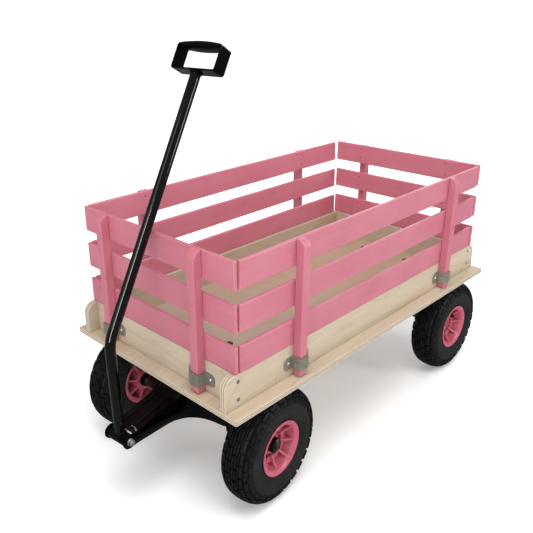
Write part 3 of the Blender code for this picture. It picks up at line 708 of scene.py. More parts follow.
# ---------------------------------------------------------------- rims
RIBS = 8
RIM_SECTION = [(0.0238, -0.0358), (0.0238, 0.0040), (0.0250, 0.0050), (0.0262, 0.0036), (0.0268, 0.0010),
               (0.0290, 0.0010), (0.0298, 0.0094), (0.0312, 0.0106), (0.0412, 0.0112), (0.0424, 0.0100),
               (0.0434, 0.0040), (0.0460, 0.0040), (0.0478, 0.0120), (0.0502, 0.0262), (0.0510, 0.0292),
               (0.0524, 0.0312), (0.0570, 0.0338), (0.0606, 0.0352), (0.0624, 0.0344), (0.0626, 0.0328),
               (0.0600, 0.0305), (0.0560, 0.0250), (0.0535, 0.0200), (0.0500, 0.0180), (0.0500, -0.0180),
               (0.0535, -0.0200), (0.0560, -0.0250), (0.0600, -0.0305), (0.0626, -0.0328), (0.0624, -0.0344),
               (0.0606, -0.0352), (0.0570, -0.0338), (0.0522, -0.0312), (0.0508, -0.0270), (0.0484, -0.0062),
               (0.0420, -0.0040), (0.0400, 0.0076), (0.0320, 0.0074), (0.0304, -0.0060), (0.0270, -0.0062),
               (0.0268, -0.0358)]
RIB_OUT = [(0.0245, -0.0032), (0.0248, 0.0105), (0.0300, 0.0140), (0.0400, 0.0205), (0.0500, 0.0272),
           (0.0513, 0.0262), (0.0482, 0.0060), (0.0460, -0.0032)]
RIB_IN = [(0.0255, -0.0055), (0.0255, -0.0345), (0.0300, -0.0330), (0.0450, -0.0305), (0.0522, -0.0300),
          (0.0515, -0.0250), (0.0488, -0.0055), (0.0400, -0.0050)]
BORE_SECTION = [(0.0168, -0.0360), (0.0168, 0.0060), (0.0234, 0.0060), (0.0242, 0.0040), (0.0242, -0.0360)]
RIB_SLICES = ((-0.0025, -0.0012), (-0.0021, -0.0003), (-0.0012, 0.0), (0.0012, 0.0), (0.0021, -0.0003),
              (0.0025, -0.0012))


def add_rib(bm, outline, spin):
    """A rib with rounded edges: slices of its (radius, x) outline, smaller towards both faces."""
    centre = sum((Vector(p) for p in outline), Vector((0.0, 0.0))) / len(outline)
    rows = []
    for offset, inset in RIB_SLICES:
        slice_points = [Vector(p) + (Vector(p) - centre).normalized() * inset for p in outline]
        rows.append([spin @ Vector((p.y, offset, p.x)) for p in slice_points])
    loft(bm, rows)


def rim_mesh():
    bm = bmesh.new()
    turn(bm, rounded(RIM_SECTION, 0.0012, 2), 96, closed=True)
    turn(bm, rounded(BORE_SECTION, 0.0010, 2), 64, closed=True)
    for k in range(RIBS):
        spin = Matrix.Rotation(2.0 * math.pi * (k + 0.5) / RIBS, 4, "X")
        for outline in (RIB_OUT, RIB_IN):
            add_rib(bm, outline, spin)
    return as_mesh("ribbed_rim", bm)


TYRE_MESH, RIM_MESH = tyre_mesh(), rim_mesh()
WHEEL_PHASE = {"front_right": 0.21, "front_left": -0.10, "rear_right": 0.33, "rear_left": -0.235}
HUB_R, HUB_BORE_R, HUB_BACK = 0.0165, 0.0081, -0.0430
HUB_REACH = {"front": 0.0200, "rear": -0.0020}
HUB_NUBS = 6
VALVE_TURN = {"front": 1.62, "rear": 0.16}
VALVE_LINE = [(0.0120, 0.0500), (0.0150, 0.0475), (0.0205, 0.0428), (0.0270, 0.0372), (0.0315, 0.0334)]
VALVE_RADII = [0.0060, 0.0052, 0.0047, 0.0045, 0.0044]


def hub_shape(reach):
    """Plastic hub with its outer end at X = reach, recessed and with a ring of nubs."""
    bm = bmesh.new()
    hub = [(HUB_BORE_R, HUB_BACK), (HUB_R, HUB_BACK), (HUB_R, reach - 0.0012), (0.0156, reach),
           (0.0122, reach), (0.0118, reach - 0.0022), (0.0100, reach - 0.0024),
           (HUB_BORE_R, reach - 0.0024)]
    turn(bm, rounded(hub, 0.0005, 2), 48, closed=True)
    nub = Matrix.Translation((reach - 0.0012, 0.0, 0.0112)) @ Matrix.Diagonal((0.0016, 0.0012, 0.0030, 1.0))
    for k in range(HUB_NUBS):
        spin = Matrix.Rotation(2.0 * math.pi * k / HUB_NUBS, 4, "X")
        bmesh.ops.create_cube(bm, size=1.0, matrix=spin @ nub)
    return bm


def valve_shape(short):
    """Rubber valve stem with its cap; a short one is cut off below the last bend."""
    line = [(x, 0.0, z) for x, z in VALVE_LINE]
    if short:
        line = [(x - 0.0050, y, z) for x, y, z in line[:4]]
    bm = bmesh.new()
    tube(bm, line, VALVE_RADII, 20)
    tip, step = Vector(line[-1]), (Vector(line[-1]) - Vector(line[-2])).normalized()
    cap = [tip - step * 0.008, tip - step * 0.0079, tip + step * 0.001, tip + step * 0.0016]
    tube(bm, cap, [0.0044, 0.0053, 0.0051, 0.0040], 12)
    return bm


def wheel(name):
    """Tyre, rim, hub and valve of one wheel, about its own axle with X pointing outwards."""
    joint = SPIN[name]
    end, side = name.split("_")
    body = name + "_wheel"
    at = axes_at(joint["pos_m"], Vector(joint["axis"]) * (1.0 if side == "right" else -1.0))
    phased = at @ Matrix.Rotation(WHEEL_PHASE[name], 4, "X")
    from_mesh(name + "_treaded_tyre", TYRE_MESH, TYRE_BLACK, body, phased, 30.0,
              (name + "_tyre",))
    from_mesh(name + "_ribbed_rim", RIM_MESH, RIM_PINK, body, phased, 40.0,
              (name + "_rim",))
    to_object(name + "_hub", hub_shape(HUB_REACH[end]), PLASTIC, body, phased, 35.0,
              (name + "_bush",))
    to_object(name + "_valve", valve_shape(end == "front"), STEM_BLACK, body,
              at @ Matrix.Rotation(VALVE_TURN[end], 4, "X"))


for wheel_name in SPIN:
    wheel(wheel_name)


# ---------------------------------------------------------------- steering frame and rear frame
SHEET = 0.0030
HANGER_X = 0.1080
BEAM_TOP, BEAM_X, BEAM_HALF_Y, BEAM_FLANGE_Z = 0.2100, 0.1600, 0.0355, 0.1455
RAISED_TOP = 0.2604
REAR_TOP = 0.2782
BEND = ((0.0, -0.0030), (0.0003, -0.0015), (0.0015, -0.0003), (0.0030, 0.0))
FRONT_LINE = [(-0.2430, 0.0305, 0.1755, 0.1835), (-0.2410, 0.0305, 0.1708, 0.1882),
              (-0.2370, 0.0305, 0.1662, 0.1928), (-0.2320, 0.0305, 0.1638, 0.1952),
              (-0.2270, 0.0305, 0.1630, 0.1960)]
FRONT_OUTLINE = [(-0.2170, 0.0306, 0.1640), (-0.2050, 0.0308, 0.1650), (-0.1500, 0.0328, 0.1650),
                 (-0.1200, 0.0345, 0.1650), (-0.1030, 0.0362, 0.1630), (-0.0880, 0.0395, 0.1605),
                 (-0.0740, 0.0455, 0.1580), (-0.0610, 0.0550, 0.1550), (-0.0505, 0.0680, 0.1525),
                 (-0.0430, 0.0850, 0.1500), (-0.0390, 0.1020, 0.1480), (-0.0350, 0.1200, 0.1468),
                 (-0.0245, 0.1400, 0.1460), (-0.0070, BEAM_X, BEAM_FLANGE_Z)]


def ease(value, low, high):
    t = min(1.0, max(0.0, (value - low) / (high - low)))
    return t * t * (3.0 - 2.0 * t)


def front_top(x, y):
    """Low at the tongue's tip, raised to the turntable, with a swage along each side of the tongue."""
    base = min(BEAM_TOP + 0.003, 0.1965 + max(0.0, y + 0.205) * 0.165)
    raised = ease(y, -0.105, -0.060) * (1.0 - ease(abs(x), 0.062, 0.090))
    along = ease(y, -0.200, -0.185) * (1.0 - ease(y, -0.110, -0.085))
    swage = 0.0018 * along * math.exp(-((abs(x) - 0.017) / 0.0030) ** 2)
    return base + (RAISED_TOP - base) * raised + swage * (1.0 - raised)


def rear_top(x, y):
    return BEAM_TOP + (REAR_TOP - 0.0002 - BEAM_TOP) * (1.0 - ease(abs(x), 0.088, 0.108))


def between(a, b, c, d, t):
    """Catmull-Rom value at t between b and c."""
    square, cube = 2 * a - 5 * b + 4 * c - d, 3 * b - a - 3 * c + d
    return 0.5 * (2 * b + (c - a) * t + square * t * t + cube * t ** 3)


def smooth_line(points, per):
    """Points along a smooth curve through a list of tuples."""
    out = []
    for i in range(len(points) - 1):
        near = (points[max(i - 1, 0)], points[i], points[i + 1], points[min(i + 2, len(points) - 1)])
        out += [tuple(between(*values, k / per) for values in zip(*near)) for k in range(per)]
    return out + [points[-1]]


def section_row(y, w, low, high, count, top):
    """A pressing's section at y: up its left flange, across the top and down its right flange."""
    edge = top(w, y) if high is None else high
    if high is None:
        inner = w - BEND[-1][0]
        spread = [inner * (2.0 * k / count - 1.0) for k in range(1, count)]
        crown = [(dx - w, edge + dz) for dx, dz in BEND] + [(x, top(x, y)) for x in spread] \
            + [(w - dx, edge + dz) for dx, dz in reversed(BEND)]
    else:
        crown = [(-w, edge), (w, edge)]
    wall = [(-w, low), (-w, low + (crown[0][1] - low) * 0.6)]
    return [Vector((x, y, z)) for x, z in wall + crown + [(-x, z) for x, z in reversed(wall)]]


def close_end(bm, row):
    """A flange across the end of a pressing, down to the foot of its side flanges."""
    foot, y, inner = row[0].co.z, row[0].co.y, row[2:-2]
    lows = [row[0]] + [bm.verts.new((v.co.x, y, foot)) for v in inner[1:-1]] + [row[-1]]
    bm.faces.new((row[0], row[1], inner[0], inner[1], lows[1]))
    bm.faces.new((row[-1], row[-2], inner[-1], inner[-2], lows[-2]))
    for k in range(1, len(inner) - 2):
        bm.faces.new((lows[k], lows[k + 1], inner[k + 1], inner[k]))


def pressed_sheet(name, stations, count, top, body, matrix, replaced, flange_front):
    """Sheet lofted across the wagon with flanges turned down; stations are (y, half width, foot, top)."""
    bm = bmesh.new()
    made = [[bm.verts.new(p) for p in section_row(*station, count, top)] for station in stations]
    for a, b in zip(made, made[1:]):
        if len(a) == len(b) and len(a) > 6:
            for j in range(len(a) - 1):
                bm.faces.new((a[j], a[j + 1], b[j + 1], b[j]))
        else:
            for j in (0, 1):
                bm.faces.new((a[j], a[j + 1], b[j + 1], b[j]))
                bm.faces.new((a[-j - 2], a[-j - 1], b[-j - 1], b[-j - 2]))
    if flange_front:
        close_end(bm, made[0])
    close_end(bm, made[-1])
    obj = to_object(name, bm, BLACK, body, matrix, 40.0, (replaced,))
    mod = obj.modifiers.new("sheet", "SOLIDIFY")
    mod.thickness = SHEET
    mod.offset = -1.0
    mod.use_even_offset = True
    soften(obj, 0.0007, 2, 50.0)


def hangers(name, body, matrix):
    """The two welded plates that carry the axle, with their fillet welds."""
    bm = bmesh.new()
    half = BEAM_HALF_Y - 0.0016
    side = [(half, 0.2085), (half, 0.1800), (0.0170, 0.1480), (0.0170, 0.1125)]
    outline = rounded([(-half, 0.2085)] + side + [(-y, z) for y, z in reversed(side[1:])], 0.009, 4)
    for x in (-HANGER_X, HANGER_X):
        loft(bm, [[Vector((x + dx, y, z)) for y, z in outline] for dx in (-0.0020, 0.0020)])
    obj = to_object(name + "_hangers", bm, BLACK, body, matrix, 30.0)
    soften(obj, 0.0005, 2, 50.0)
    bm = bmesh.new()
    for k, x in enumerate((-HANGER_X - 0.0025, HANGER_X - 0.0025, 0.0025 - HANGER_X, HANGER_X + 0.0025)):
        line = [(x, half * (2.0 * i / 24 - 1.0) * 0.93, 0.2075) for i in range(25)]
        tube(bm, line, 0.0024, 8, 0.5, k)
        turns = [2.0 * math.pi * i / 28 for i in range(28)]
        ring = [(x, 0.0140 * math.cos(a), WHEEL_R + 0.0140 * math.sin(a)) for a in turns]
        ring_tube(bm, ring, 0.0020, 8, 0.5, k + 9)
    to_object(name + "_welds", bm, WELD, body, matrix, 60.0)


REAR_PLACE = axes_at((0.0, REAR_Y, 0.0), (1.0, 0.0, 0.0))
front_stations = FRONT_LINE + [(y, w, z, None) for y, w, z in smooth_line(FRONT_OUTLINE, 5)]
front_stations += [(y, BEAM_X, BEAM_FLANGE_Z, None) for y in (0.0, 0.0125, 0.025, BEAM_HALF_Y)]
pressed_sheet("front_frame_pressing", front_stations, 46, front_top, "steering", STEERED,
              "front_axle_frame", False)
rear_stations = [(BEAM_HALF_Y * t, BEAM_X, BEAM_FLANGE_Z, None) for t in (-1.0, -0.5, 0.0, 0.5, 1.0)]
pressed_sheet("rear_frame_pressing", rear_stations, 60, rear_top, "wagon", REAR_PLACE,
              "rear_axle_frame", True)
hangers("front_frame", "steering", STEERED)
hangers("rear_frame", "wagon", REAR_PLACE)


# ---------------------------------------------------------------- axles
AT_AXLE = Matrix.Translation((0.0, 0.0, WHEEL_R))


def axle(name, body, matrix, end_x, replaced):
    bm = bmesh.new()
    half = [(0.0, end_x), (0.0068, end_x), (0.0080, end_x - 0.0012), (0.0080, 0.1716), (0.0116, 0.1712),
            (0.0125, 0.1703)]
    turn(bm, half + [(r, -x) for r, x in reversed(half)], 40, matrix=AT_AXLE)
    to_object(name, bm, DARK_BOLT, body, matrix, 30.0, (replaced,))


def split_pin(bm, x):
    """A split pin down through the axle's end: eye above, two bent legs below."""
    eye = [(x, 0.0036 * math.sin(a), WHEEL_R + 0.0135 + 0.0036 * math.cos(a))
           for a in [math.pi + 0.5 + (2 * math.pi - 1.0) * k / 18 for k in range(19)]]
    tube(bm, eye, 0.0011, 8)
    for sign in (-1, 1):
        leg = [(x, sign * 0.0006, WHEEL_R + 0.0105), (x, sign * 0.0006, WHEEL_R - 0.0085),
               (x, sign * 0.0014, WHEEL_R - 0.0102), (x, sign * 0.0034, WHEEL_R - 0.0114)]
        tube(bm, leg, 0.0010, 8)


def washer(bm, x, inner, outer, thick, matrix=Matrix.Identity(4)):
    turn(bm, rounded([(inner, x), (outer, x), (outer, x + thick), (inner, x + thick)], 0.0003, 1), 36,
         closed=True, matrix=matrix)


axle("front_axle_bar", "steering", STEERED, 0.2409, "front_axle")
axle("rear_axle_bar", "wagon", REAR_PLACE, 0.2190, "rear_axle")
for end, body, matrix, hub_x in (("front", "steering", STEERED, 0.2358),
                                 ("rear", "wagon", REAR_PLACE, 0.2142)):
    pins, washers = bmesh.new(), bmesh.new()
    for side in (-1, 1):
        split_pin(pins, side * (hub_x + 0.0021))
        washer(washers, side * hub_x - 0.0006, 0.0082, 0.0118, 0.0012, AT_AXLE)
    to_object(end + "_split_pins", pins, GREY_ZINC, body, matrix)
    to_object(end + "_hub_washers", washers, DARK_BOLT, body, matrix)


# ---------------------------------------------------------------- handle
TUBE_R, SLEEVE_R, SLEEVE_HALF, WELD_R = 0.0110, 0.0138, 0.0265, 0.0120
PIVOT_REACH = -(Vector((PIVOT.x, PIVOT.y)) - Vector((KINGPIN.x, KINGPIN.y))).length
BEND_Z, GRIP_Z = 0.4000, 0.9139
BEND_AT = Vector((-0.2312 - PIVOT_REACH, BEND_Z - PIVOT.z))
SLOPE = Vector((0.5555, 1.0)).normalized()
BEND_R = 0.0800
GRIP_W, GRIP_H, GRIP_D, GRIP_T, GRIP_CORNER = 0.1195, 0.0555, 0.0318, 0.0036, 0.0065
GRIP_REACH = (GRIP_Z - BEND_Z) / SLOPE.y
GRIP_MID = BEND_AT + SLOPE * GRIP_REACH
TUBE_TOP = BEND_AT + SLOPE * (GRIP_REACH - GRIP_H / 2 - 0.0003)


def sloped(point):
    """Places something along the pipe's slope, with Z along the pipe."""
    lean = Matrix.Rotation(-math.atan2(SLOPE.x, SLOPE.y), 4, "X")
    return Matrix.Translation((0.0, point.x, point.y)) @ lean


def handle_line():
    foot = Vector((0.0, SLEEVE_R - 0.0030))
    down = (foot - BEND_AT).normalized()
    half = (math.pi - down.angle(SLOPE)) / 2
    start, end = BEND_AT + down * BEND_R * math.tan(half), BEND_AT + SLOPE * BEND_R * math.tan(half)
    middle = BEND_AT + (down + SLOPE).normalized() * (BEND_R / math.cos(half))
    points = [foot + (start - foot) * k / 6 for k in range(6)]
    for k in range(15):
        way = (start - middle).normalized().slerp((end - middle).normalized(), k / 14)
        points.append(middle + way * BEND_R)
    points += [end + (TUBE_TOP - end) * k / 12 for k in range(1, 13)]
    return [Vector((0.0, p.x, p.y)) for p in points]


bm = bmesh.new()
tube(bm, handle_line(), TUBE_R, 48)
to_object("handle_pipe", bm, GLOSS_BLACK, "handle", HANDLE, 40.0, ("handle_tube",))
bm = bmesh.new()
ends = [(0.0056, -SLEEVE_HALF), (SLEEVE_R, -SLEEVE_HALF), (SLEEVE_R, SLEEVE_HALF), (0.0056, SLEEVE_HALF)]
turn(bm, rounded(ends, 0.0010, 3), 56, closed=True)
to_object("pivot_tube", bm, BLACK, "handle", HANDLE, 40.0, ("pivot_sleeve",))


# the welds where the pipe lands on the pivot tube and where it meets the grip
bm = bmesh.new()
turns = [2.0 * math.pi * k / 44 for k in range(44)]
ring = [(WELD_R * math.cos(a), WELD_R * math.sin(a)) for a in turns]
foot = [Vector((x, y, math.sqrt(SLEEVE_R ** 2 - y * y) + 0.0004)) for x, y in ring]
ring_tube(bm, foot, 0.0022, 10, 0.55, 3)
ring_tube(bm, [sloped(TUBE_TOP) @ Vector((x, y, -0.0008)) for x, y in ring], 0.0020, 10, 0.55, 8)
to_object("handle_welds", bm, WELD, "handle", HANDLE, 60.0)

GRIP_PLACE = HANDLE @ sloped(GRIP_MID)


def corner_line(half_w, half_h, radius):
    """The grip's rectangle seen along Y, with nine points round each corner."""
    points = []
    for cx, cz, start in ((half_w, half_h, 0.0), (-half_w, half_h, 0.5), (-half_w, -half_h, 1.0),
                          (half_w, -half_h, 1.5)):
        for k in range(9):
            a = math.pi * (start + 0.5 * k / 8)
            points.append((math.copysign(abs(cx) - radius, cx) + radius * math.cos(a),
                           math.copysign(abs(cz) - radius, cz) + radius * math.sin(a)))
    return points


outer_line = corner_line(GRIP_W / 2, GRIP_H / 2, GRIP_CORNER)
inner_line = corner_line(GRIP_W / 2 - GRIP_T, GRIP_H / 2 - GRIP_T, GRIP_CORNER - GRIP_T + 0.0006)
bm = bmesh.new()
section = [(0.0, 1.0), (0.0, -1.0), (1.0, -1.0), (1.0, 1.0)]
rows = []
for (ox, oz), (ix, iz) in zip(outer_line, inner_line):
    rows.append([Vector((ox + (ix - ox) * t, y * GRIP_D / 2, oz + (iz - oz) * t)) for t, y in section])
grid(bm, rows, closed_u=True, closed_v=True)
strap = to_object("grip_strap", bm, BLACK, "handle", GRIP_PLACE, 40.0, ("grip_frame",))
soften(strap, 0.0007, 3, 50.0)

STATIONS, AROUND = 33, 40
bm = bmesh.new()
rows = []
for k in range(STATIONS):
    s = 2.0 * k / (STATIONS - 1) - 1.0
    swell = 1.0 - s * s
    end = max(0.0, (abs(s) - 0.955) / 0.045)
    shrink = math.sqrt(max(0.0, 1.0 - 0.35 * end * end))
    half_n = (GRIP_D / 2 + 0.0010 + 0.0016 * swell) * shrink
    half_t = (0.0046 + 0.0042 * swell) * shrink
    row = []
    for j in range(AROUND):
        a = 2.0 * math.pi * j / AROUND
        c, n = math.cos(a), math.sin(a)
        row.append(Vector((s * (GRIP_W / 2 - GRIP_CORNER - 0.001),
                           half_n * math.copysign(abs(c) ** 0.85, c),
                           GRIP_H / 2 - GRIP_T / 2 + half_t * math.copysign(abs(n) ** 0.9, n))))
    rows.append(row)
loft(bm, rows)
to_object("grip_sleeve", bm, PLASTIC, "handle", GRIP_PLACE, 50.0, ("grip_cover",))


# ---------------------------------------------------------------- bolts, nuts and screws
def hexagon(bm, across, thick, matrix):
    """Hexagonal head or nut with its corners chamfered, lying on X = 0 and facing +X."""
    radius = across / math.sqrt(3.0)
    rows = []
    for x, trim in ((0.0, 0.04), (thick * 0.08, 0.0), (thick * 0.86, 0.0), (thick, 0.06)):
        row = []
        for k in range(36):
            a = 2.0 * math.pi * k / 36
            flat = across / 2 / math.cos((a + math.pi / 6) % (math.pi / 3) - math.pi / 6)
            r = min(flat, radius * (1.0 - trim))
            row.append(matrix @ Vector((x, r * math.cos(a), r * math.sin(a))))
        rows.append(row)
    loft(bm, rows)


THREAD_PITCH = 0.0012


def thread(bm, radius, low, high, matrix):
    """Threaded shank end: a ridged turned shape from X = low to X = high."""
    profile = [(0.0, low), (radius * 0.5, low)]
    x, k = low, 0
    while x < high:
        profile.append((radius - (0.0005 if k % 2 else 0.0), x))
        x += THREAD_PITCH / 2
        k += 1
    turn(bm, profile + [(radius * 0.86, high), (0.0, high)], 24, matrix=matrix)


bm = bmesh.new()
turn(bm, [(0.0, 0.0340), (0.0050, 0.0340), (0.0050, -0.0330), (0.0, -0.0330)], 32)
washer(bm, 0.0309, 0.0052, 0.0080, 0.0015)
hexagon(bm, 0.0125, 0.0062, Matrix.Translation((0.0324, 0.0, 0.0)))
turn(bm, [(0.0, 0.0400), (0.0042, 0.0398), (0.0050, 0.0392), (0.0050, 0.0380), (0.0, 0.0380)], 24)
washer(bm, -0.0324, 0.0052, 0.0080, 0.0015)
hexagon(bm, 0.0125, 0.0045, Matrix.Translation((-0.0330, 0.0, 0.0)) @ Matrix.Rotation(math.pi, 4, "Z"))
to_object("pivot_hex_bolt", bm, BRIGHT, "steering", axes_at(PIVOT, STEERED_X), 30.0,
          ("pivot_bolt",))
bm = bmesh.new()
# silver marks along the tongue sheet's front edge: partly rubbed paint, partly a painted highlight of that
# edge
RUB_AND_HIGHLIGHT_MARKS = ((0.0120, 0.0240, -0.2047, 0.1966, 0.0009), (0.0262, 0.0295, -0.2075, 0.1962, 0.0015))
for k, (x0, x1, y, z, radius) in enumerate(RUB_AND_HIGHLIGHT_MARKS):
    line = [(x0 + (x1 - x0) * t / 12, y + 0.0005 * math.sin(t * 1.7 + k), z) for t in range(13)]
    tube(bm, line, radius, 8, 0.7, 5 + k)
to_object("tongue_rub_and_highlight_marks", bm, RUB_AND_HIGHLIGHT, "steering", STEERED, 60.0)


HEADS = {"pan": ([(0.0, 0.0024), (0.0018, 0.0023), (0.0030, 0.0018), (0.0037, 0.0008), (0.0038, 0.0),
                  (0.0, -0.0010)], 0.0020),
         "flat": ([(0.0, 0.0003), (0.0036, 0.0003), (0.0041, -0.0001), (0.0020, -0.0022),
                   (0.0, -0.0022)], 0.0)}


def turned_mesh(name, profile, segments):
    bm = bmesh.new()
    turn(bm, profile, segments)
    return as_mesh(name, bm)


def screw_head(kind):
    """Cross-recessed head facing +X at the origin: 'pan' stands proud, 'flat' is countersunk flush."""
    profile, recess = HEADS[kind]
    head = bpy.data.objects.new("screw_" + kind, turned_mesh("screw_" + kind, profile, 28))
    cross = bmesh.new()
    for a in (0.0, math.pi / 2):
        bmesh.ops.create_cube(cross, size=1.0, matrix=Matrix.Rotation(a, 4, "X")
                              @ Matrix.Translation((recess, 0.0, 0.0))
                              @ Matrix.Diagonal((0.0024, 0.0009, 0.0042, 1.0)))
    tool = bpy.data.objects.new("cross_" + kind, as_mesh("cross_" + kind, cross))
    for o in (head, tool):
        bpy.context.scene.collection.objects.link(o)
    mod = head.modifiers.new("recess", "BOOLEAN")
    mod.operation, mod.solver, mod.object, mod.use_self = "DIFFERENCE", "EXACT", tool, True
    bpy.context.view_layer.update()
    cut = bpy.data.meshes.new_from_object(head.evaluated_get(bpy.context.evaluated_depsgraph_get()))
    for o in (head, tool):
        bpy.data.objects.remove(o)
    return cut


PAN, FLAT = screw_head("pan"), screw_head("flat")


def facing(point, outward, spin=0.0):
    """Places something that looks along +X at a point so that it looks outward."""
    quat = Vector(outward).to_track_quat("X", "Z")
    return Matrix.Translation(point) @ quat.to_matrix().to_4x4() @ Matrix.Rotation(spin, 4, "X")


def scatter(name, mesh, mat, body, spots):
    """One piece made of copies of a small mesh at each (point, outward) spot."""
    bm = bmesh.new()
    rand = random.Random(len(name))
    for point, outward in spots:
        before = len(bm.verts)
        bm.from_mesh(mesh)
        bm.verts.ensure_lookup_table()
        place = facing(point, outward, rand.uniform(0.0, math.pi))
        for v in bm.verts[before:]:
            v.co = place @ v.co
    to_object(name, bm, mat, body, None)


spots = []
for sign, x in ((1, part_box("side_board_right")[1].x), (-1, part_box("side_board_left")[0].x)):
    for y, zs in ((-0.4635, (0.3470, 0.3075)), (0.4570, (0.3470, 0.3110))):
        spots += [((x, y + CAGE_Y, z), (sign, 0.0, 0.0)) for z in zs]
scatter("corner_screws", FLAT, BLUE_ZINC, "wagon", spots)
along_sides = [(x, y) for y in (-0.40, -0.20, 0.0, 0.20, 0.40) for x in (-0.2320, 0.2320)]
along_ends = [(x, y) for x in (-0.15, 0.15) for y in (-0.4625, 0.4625)]
spots = [((x, y + CAGE_Y, PLATE_LOW.z), (0.0, 0.0, -1.0)) for x, y in along_sides + along_ends]
scatter("deck_screws", FLAT, BLUE_ZINC, "wagon", spots)

BRACKET_SHEET, SCREW_INSET = 0.0016, 0.0125
spots = []
for node in [n for n in NODES if n.startswith("bracket")]:
    low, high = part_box(node)
    z = (low.z + high.z) / 2
    if "_right_" in node[:14] or "_left_" in node[:13]:
        sign = 1 if "bracket_right" in node else -1
        x = low.x + BRACKET_SHEET if sign > 0 else high.x - BRACKET_SHEET
        spots += [((x, y, z), (sign, 0.0, 0.0)) for y in (low.y + SCREW_INSET, high.y - SCREW_INSET)]
    else:
        sign = 1 if "bracket_rear" in node else -1
        y = low.y + BRACKET_SHEET if sign > 0 else high.y - BRACKET_SHEET
        spots += [((x, y, z), (0.0, sign, 0.0)) for x in (low.x + SCREW_INSET, high.x - SCREW_INSET)]
scatter("bracket_screws", PAN, BRIGHT, "wagon", spots)

# nails through the slats into the posts, seen from inside the wagon; the inner faces lean a little
SLAT_LEAN = 0.00101
NAIL = turned_mesh("nail_head", [(0.0, 0.0003), (0.0014, 0.0003), (0.0018, 0.0001), (0.0018, -0.0008),
                                 (0.0, -0.0008)], 14)
for panel in ("right", "left", "rear", "front"):
    spots = []
    posts = [n for n in NODES if n.startswith(panel + "_post_")]
    for slat in [n for n in NODES if n.startswith(panel + "_slat_")]:
        low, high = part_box(slat)
        for post in posts:
            centre = sum(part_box(post), Vector()) / 2
            for drop in (0.0130, 0.0410):
                z = high.z - drop
                lean = (z - low.z) / (high.z - low.z)
                for off in (-0.004, 0.004):
                    if panel in ("right", "left"):
                        sign = -1 if panel == "right" else 1
                        x = low.x + SLAT_LEAN * lean if sign < 0 else high.x - SLAT_LEAN * lean
                        spots.append(((x, centre.y + off, z), (sign, 0.0, 0.0)))
                    else:
                        sign = -1 if panel == "rear" else 1
                        y = low.y + SLAT_LEAN * lean if sign < 0 else high.y
                        spots.append(((centre.x + off, y, z), (0.0, sign, 0.0)))
    body = "wagon" if panel == "front" else panel + "_panel"
    scatter(panel + "_panel_nails", NAIL, DARK_BOLT, body, spots[::2])

# carriage bolts through the deck, with their nuts below
CARRIAGE = turned_mesh("carriage_head", [(0.0, 0.0034), (0.0040, 0.0030), (0.0078, 0.0018), (0.0098, 0.0004),
                                         (0.0100, -0.0002), (0.0, -0.0002)], 36)
front_bolts = [(x, KINGPIN.y + y) for x in (-0.050, 0.050) for y in (-0.0615, 0.0615)]
rear_bolts = [(x, REAR_Y) for x in (-0.075, 0.075)]
scatter("deck_bolt_heads", CARRIAGE, DARK_BOLT, "wagon",
        [((x, y, FLOOR_Z), (0.0, 0.0, 1.0)) for x, y in front_bolts + rear_bolts])
bm = bmesh.new()
DOWN = Matrix.Rotation(math.pi / 2, 4, "Y")
for (x, y), z in [(p, 0.2747) for p in front_bolts] + [(p, 0.2750) for p in rear_bolts]:
    at = Matrix.Translation((x, y, z)) @ DOWN
    hexagon(bm, 0.0130, 0.0050, at @ Matrix.Translation((0.0010, 0.0, 0.0)))
    washer(bm, 0.0, 0.0042, 0.0085, 0.0010, at)
    thread(bm, 0.0040, 0.0055, 0.0085, at)
to_object("deck_bolt_nuts", bm, DARK_BOLT, "wagon", None, 30.0)


# ---------------------------------------------------------------- floor, light and camera
FLOOR_PROFILE = ((0.0, 0.0), (2.0, 0.0), (6.0, 0.0), (12.0, 0.0), (60.0, 0.0), (75.0, 2.0), (84.0, 8.0),
                 (90.0, 20.0), (92.0, 40.0))
FLOOR_DROP = 0.0006


def stage_floor():
    """White paper under the wagon that curves up far away and glows a little."""
    bm = bmesh.new()
    turns = [2.0 * math.pi * k / 96 for k in range(96)]
    grid(bm, [[Vector((r * math.cos(a), r * math.sin(a), z - FLOOR_DROP)) for a in turns]
              for r, z in FLOOR_PROFILE], closed_u=True)
    bmesh.ops.remove_doubles(bm, verts=bm.verts, dist=0.0001)
    bmesh.ops.recalc_face_normals(bm, faces=bm.faces)
    bmesh.ops.reverse_faces(bm, faces=bm.faces)
    mesh = bpy.data.meshes.new("studio_floor")
    bm.to_mesh(mesh)
    bm.free()
    mesh.shade_smooth()
    look = Look("studio_paper")
    tone = look.noise(look.place, 3.0, 2.0)
    reach = look.add("ShaderNodeVectorMath", operation="LENGTH")
    look.plug(reach.inputs[0], look.place)
    glow = look.math("MULTIPLY", look.span(reach.outputs["Value"], 0.4, 2.4, 0.20, 0.85),
                     look.span(look.part(look.place, 2), 4.0, 24.0, 1.0, 0.25))
    look.plug(look.shader.inputs["Emission Strength"], glow)
    look.shader.inputs["Emission Color"].default_value = (1.0, 1.0, 1.0, 1.0)
    mesh.materials.append(look.done(look.mix(tone, (0.90, 0.90, 0.90), (0.93, 0.93, 0.93)), 0.9))
    floor = bpy.data.objects.new("studio_floor", mesh)
    bpy.context.scene.collection.objects.link(floor)
    floor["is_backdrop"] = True
    floor.visible_glossy = False


def softbox(name, at, aim, size, watts, sheen_only):
    """An area light aimed at a point; sheen_only hides it from diffuse light."""
    light = bpy.data.lights.new(name, "AREA")
    light.shape = "RECTANGLE"
    light.size, light.size_y = size
    light.energy = watts
    obj = bpy.data.objects.new(name, light)
    obj.visible_diffuse = not sheen_only
    obj.location = at
    obj.rotation_euler = (Vector(aim) - Vector(at)).to_track_quat("-Z", "Y").to_euler()
    bpy.context.scene.collection.objects.link(obj)


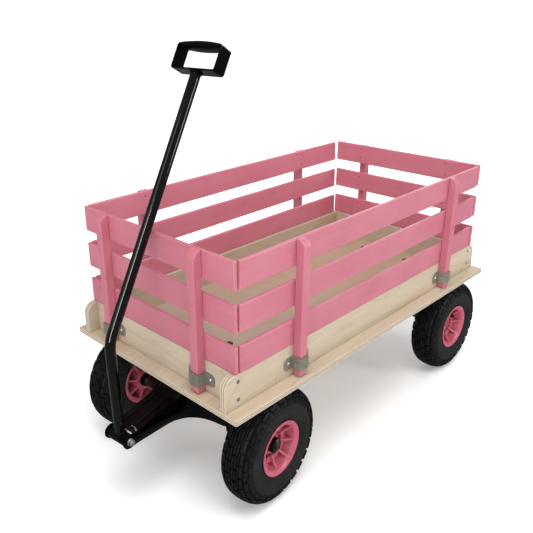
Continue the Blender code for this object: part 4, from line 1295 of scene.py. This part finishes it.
stage_floor()
world = bpy.data.worlds.new("studio_air")
world.use_nodes = True
world.node_tree.nodes["Background"].inputs["Color"].default_value = (1.0, 1.0, 1.0, 1.0)
world.node_tree.nodes["Background"].inputs["Strength"].default_value = 0.28
bpy.context.scene.world = world
for settings in (
        ("key_softbox", (0.2, -5.6, 3.6), (0.0, 0.0, 0.35), (1.9, 2.6), 42.0, False),
        ("side_softbox", (4.8, 2.0, 3.8), (0.0, 0.0, 0.35), (1.6, 2.8), 78.0, False),
        ("top_softbox", (1.0, -1.0, 3.7), (0.0, 0.0, 0.2), (2.2, 2.2), 106.0, False),
        ("back_softbox", (-1.4, 3.2, 2.0), (0.0, 0.0, 0.4), (1.8, 1.4), 30.0, False),
        ("strip_light", (1.10, -2.90, 1.20), (0.0, -0.4, 0.60), (0.30, 1.8), 46.0, True),
        ("side_strip_light", (2.70, 1.10, 1.30), (0.0, -0.4, 0.60), (0.30, 1.8), 34.0, True)):
    softbox(*settings)

EYE = Vector((0.9881, -1.1897 + CAGE_Y, 1.0256))
AZIMUTH, ELEVATION, ROLL = math.radians(44.594), math.radians(20.946), math.radians(-0.607)
LENS_MM, SHIFT = 43.333, (0.0330, -0.0419)
back = Vector((math.sin(AZIMUTH) * math.cos(ELEVATION), -math.cos(AZIMUTH) * math.cos(ELEVATION),
               math.sin(ELEVATION)))
level_right = Vector((math.cos(AZIMUTH), math.sin(AZIMUTH), 0.0))
level_up = back.cross(level_right)
right = level_right * math.cos(ROLL) + level_up * math.sin(ROLL)
above = level_up * math.cos(ROLL) - level_right * math.sin(ROLL)
camera_data = bpy.data.cameras.new("studio_camera")
camera_data.lens = LENS_MM
camera_data.sensor_width = 36.0
camera_data.shift_x, camera_data.shift_y = SHIFT
camera = bpy.data.objects.new("studio_camera", camera_data)
camera.matrix_world = Matrix(((right.x, above.x, back.x, EYE.x), (right.y, above.y, back.y, EYE.y),
                              (right.z, above.z, back.z, EYE.z), (0.0, 0.0, 0.0, 1.0)))
bpy.context.scene.collection.objects.link(camera)
bpy.context.scene.camera = camera
bpy.context.scene.view_settings.view_transform = "Standard"

low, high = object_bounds()
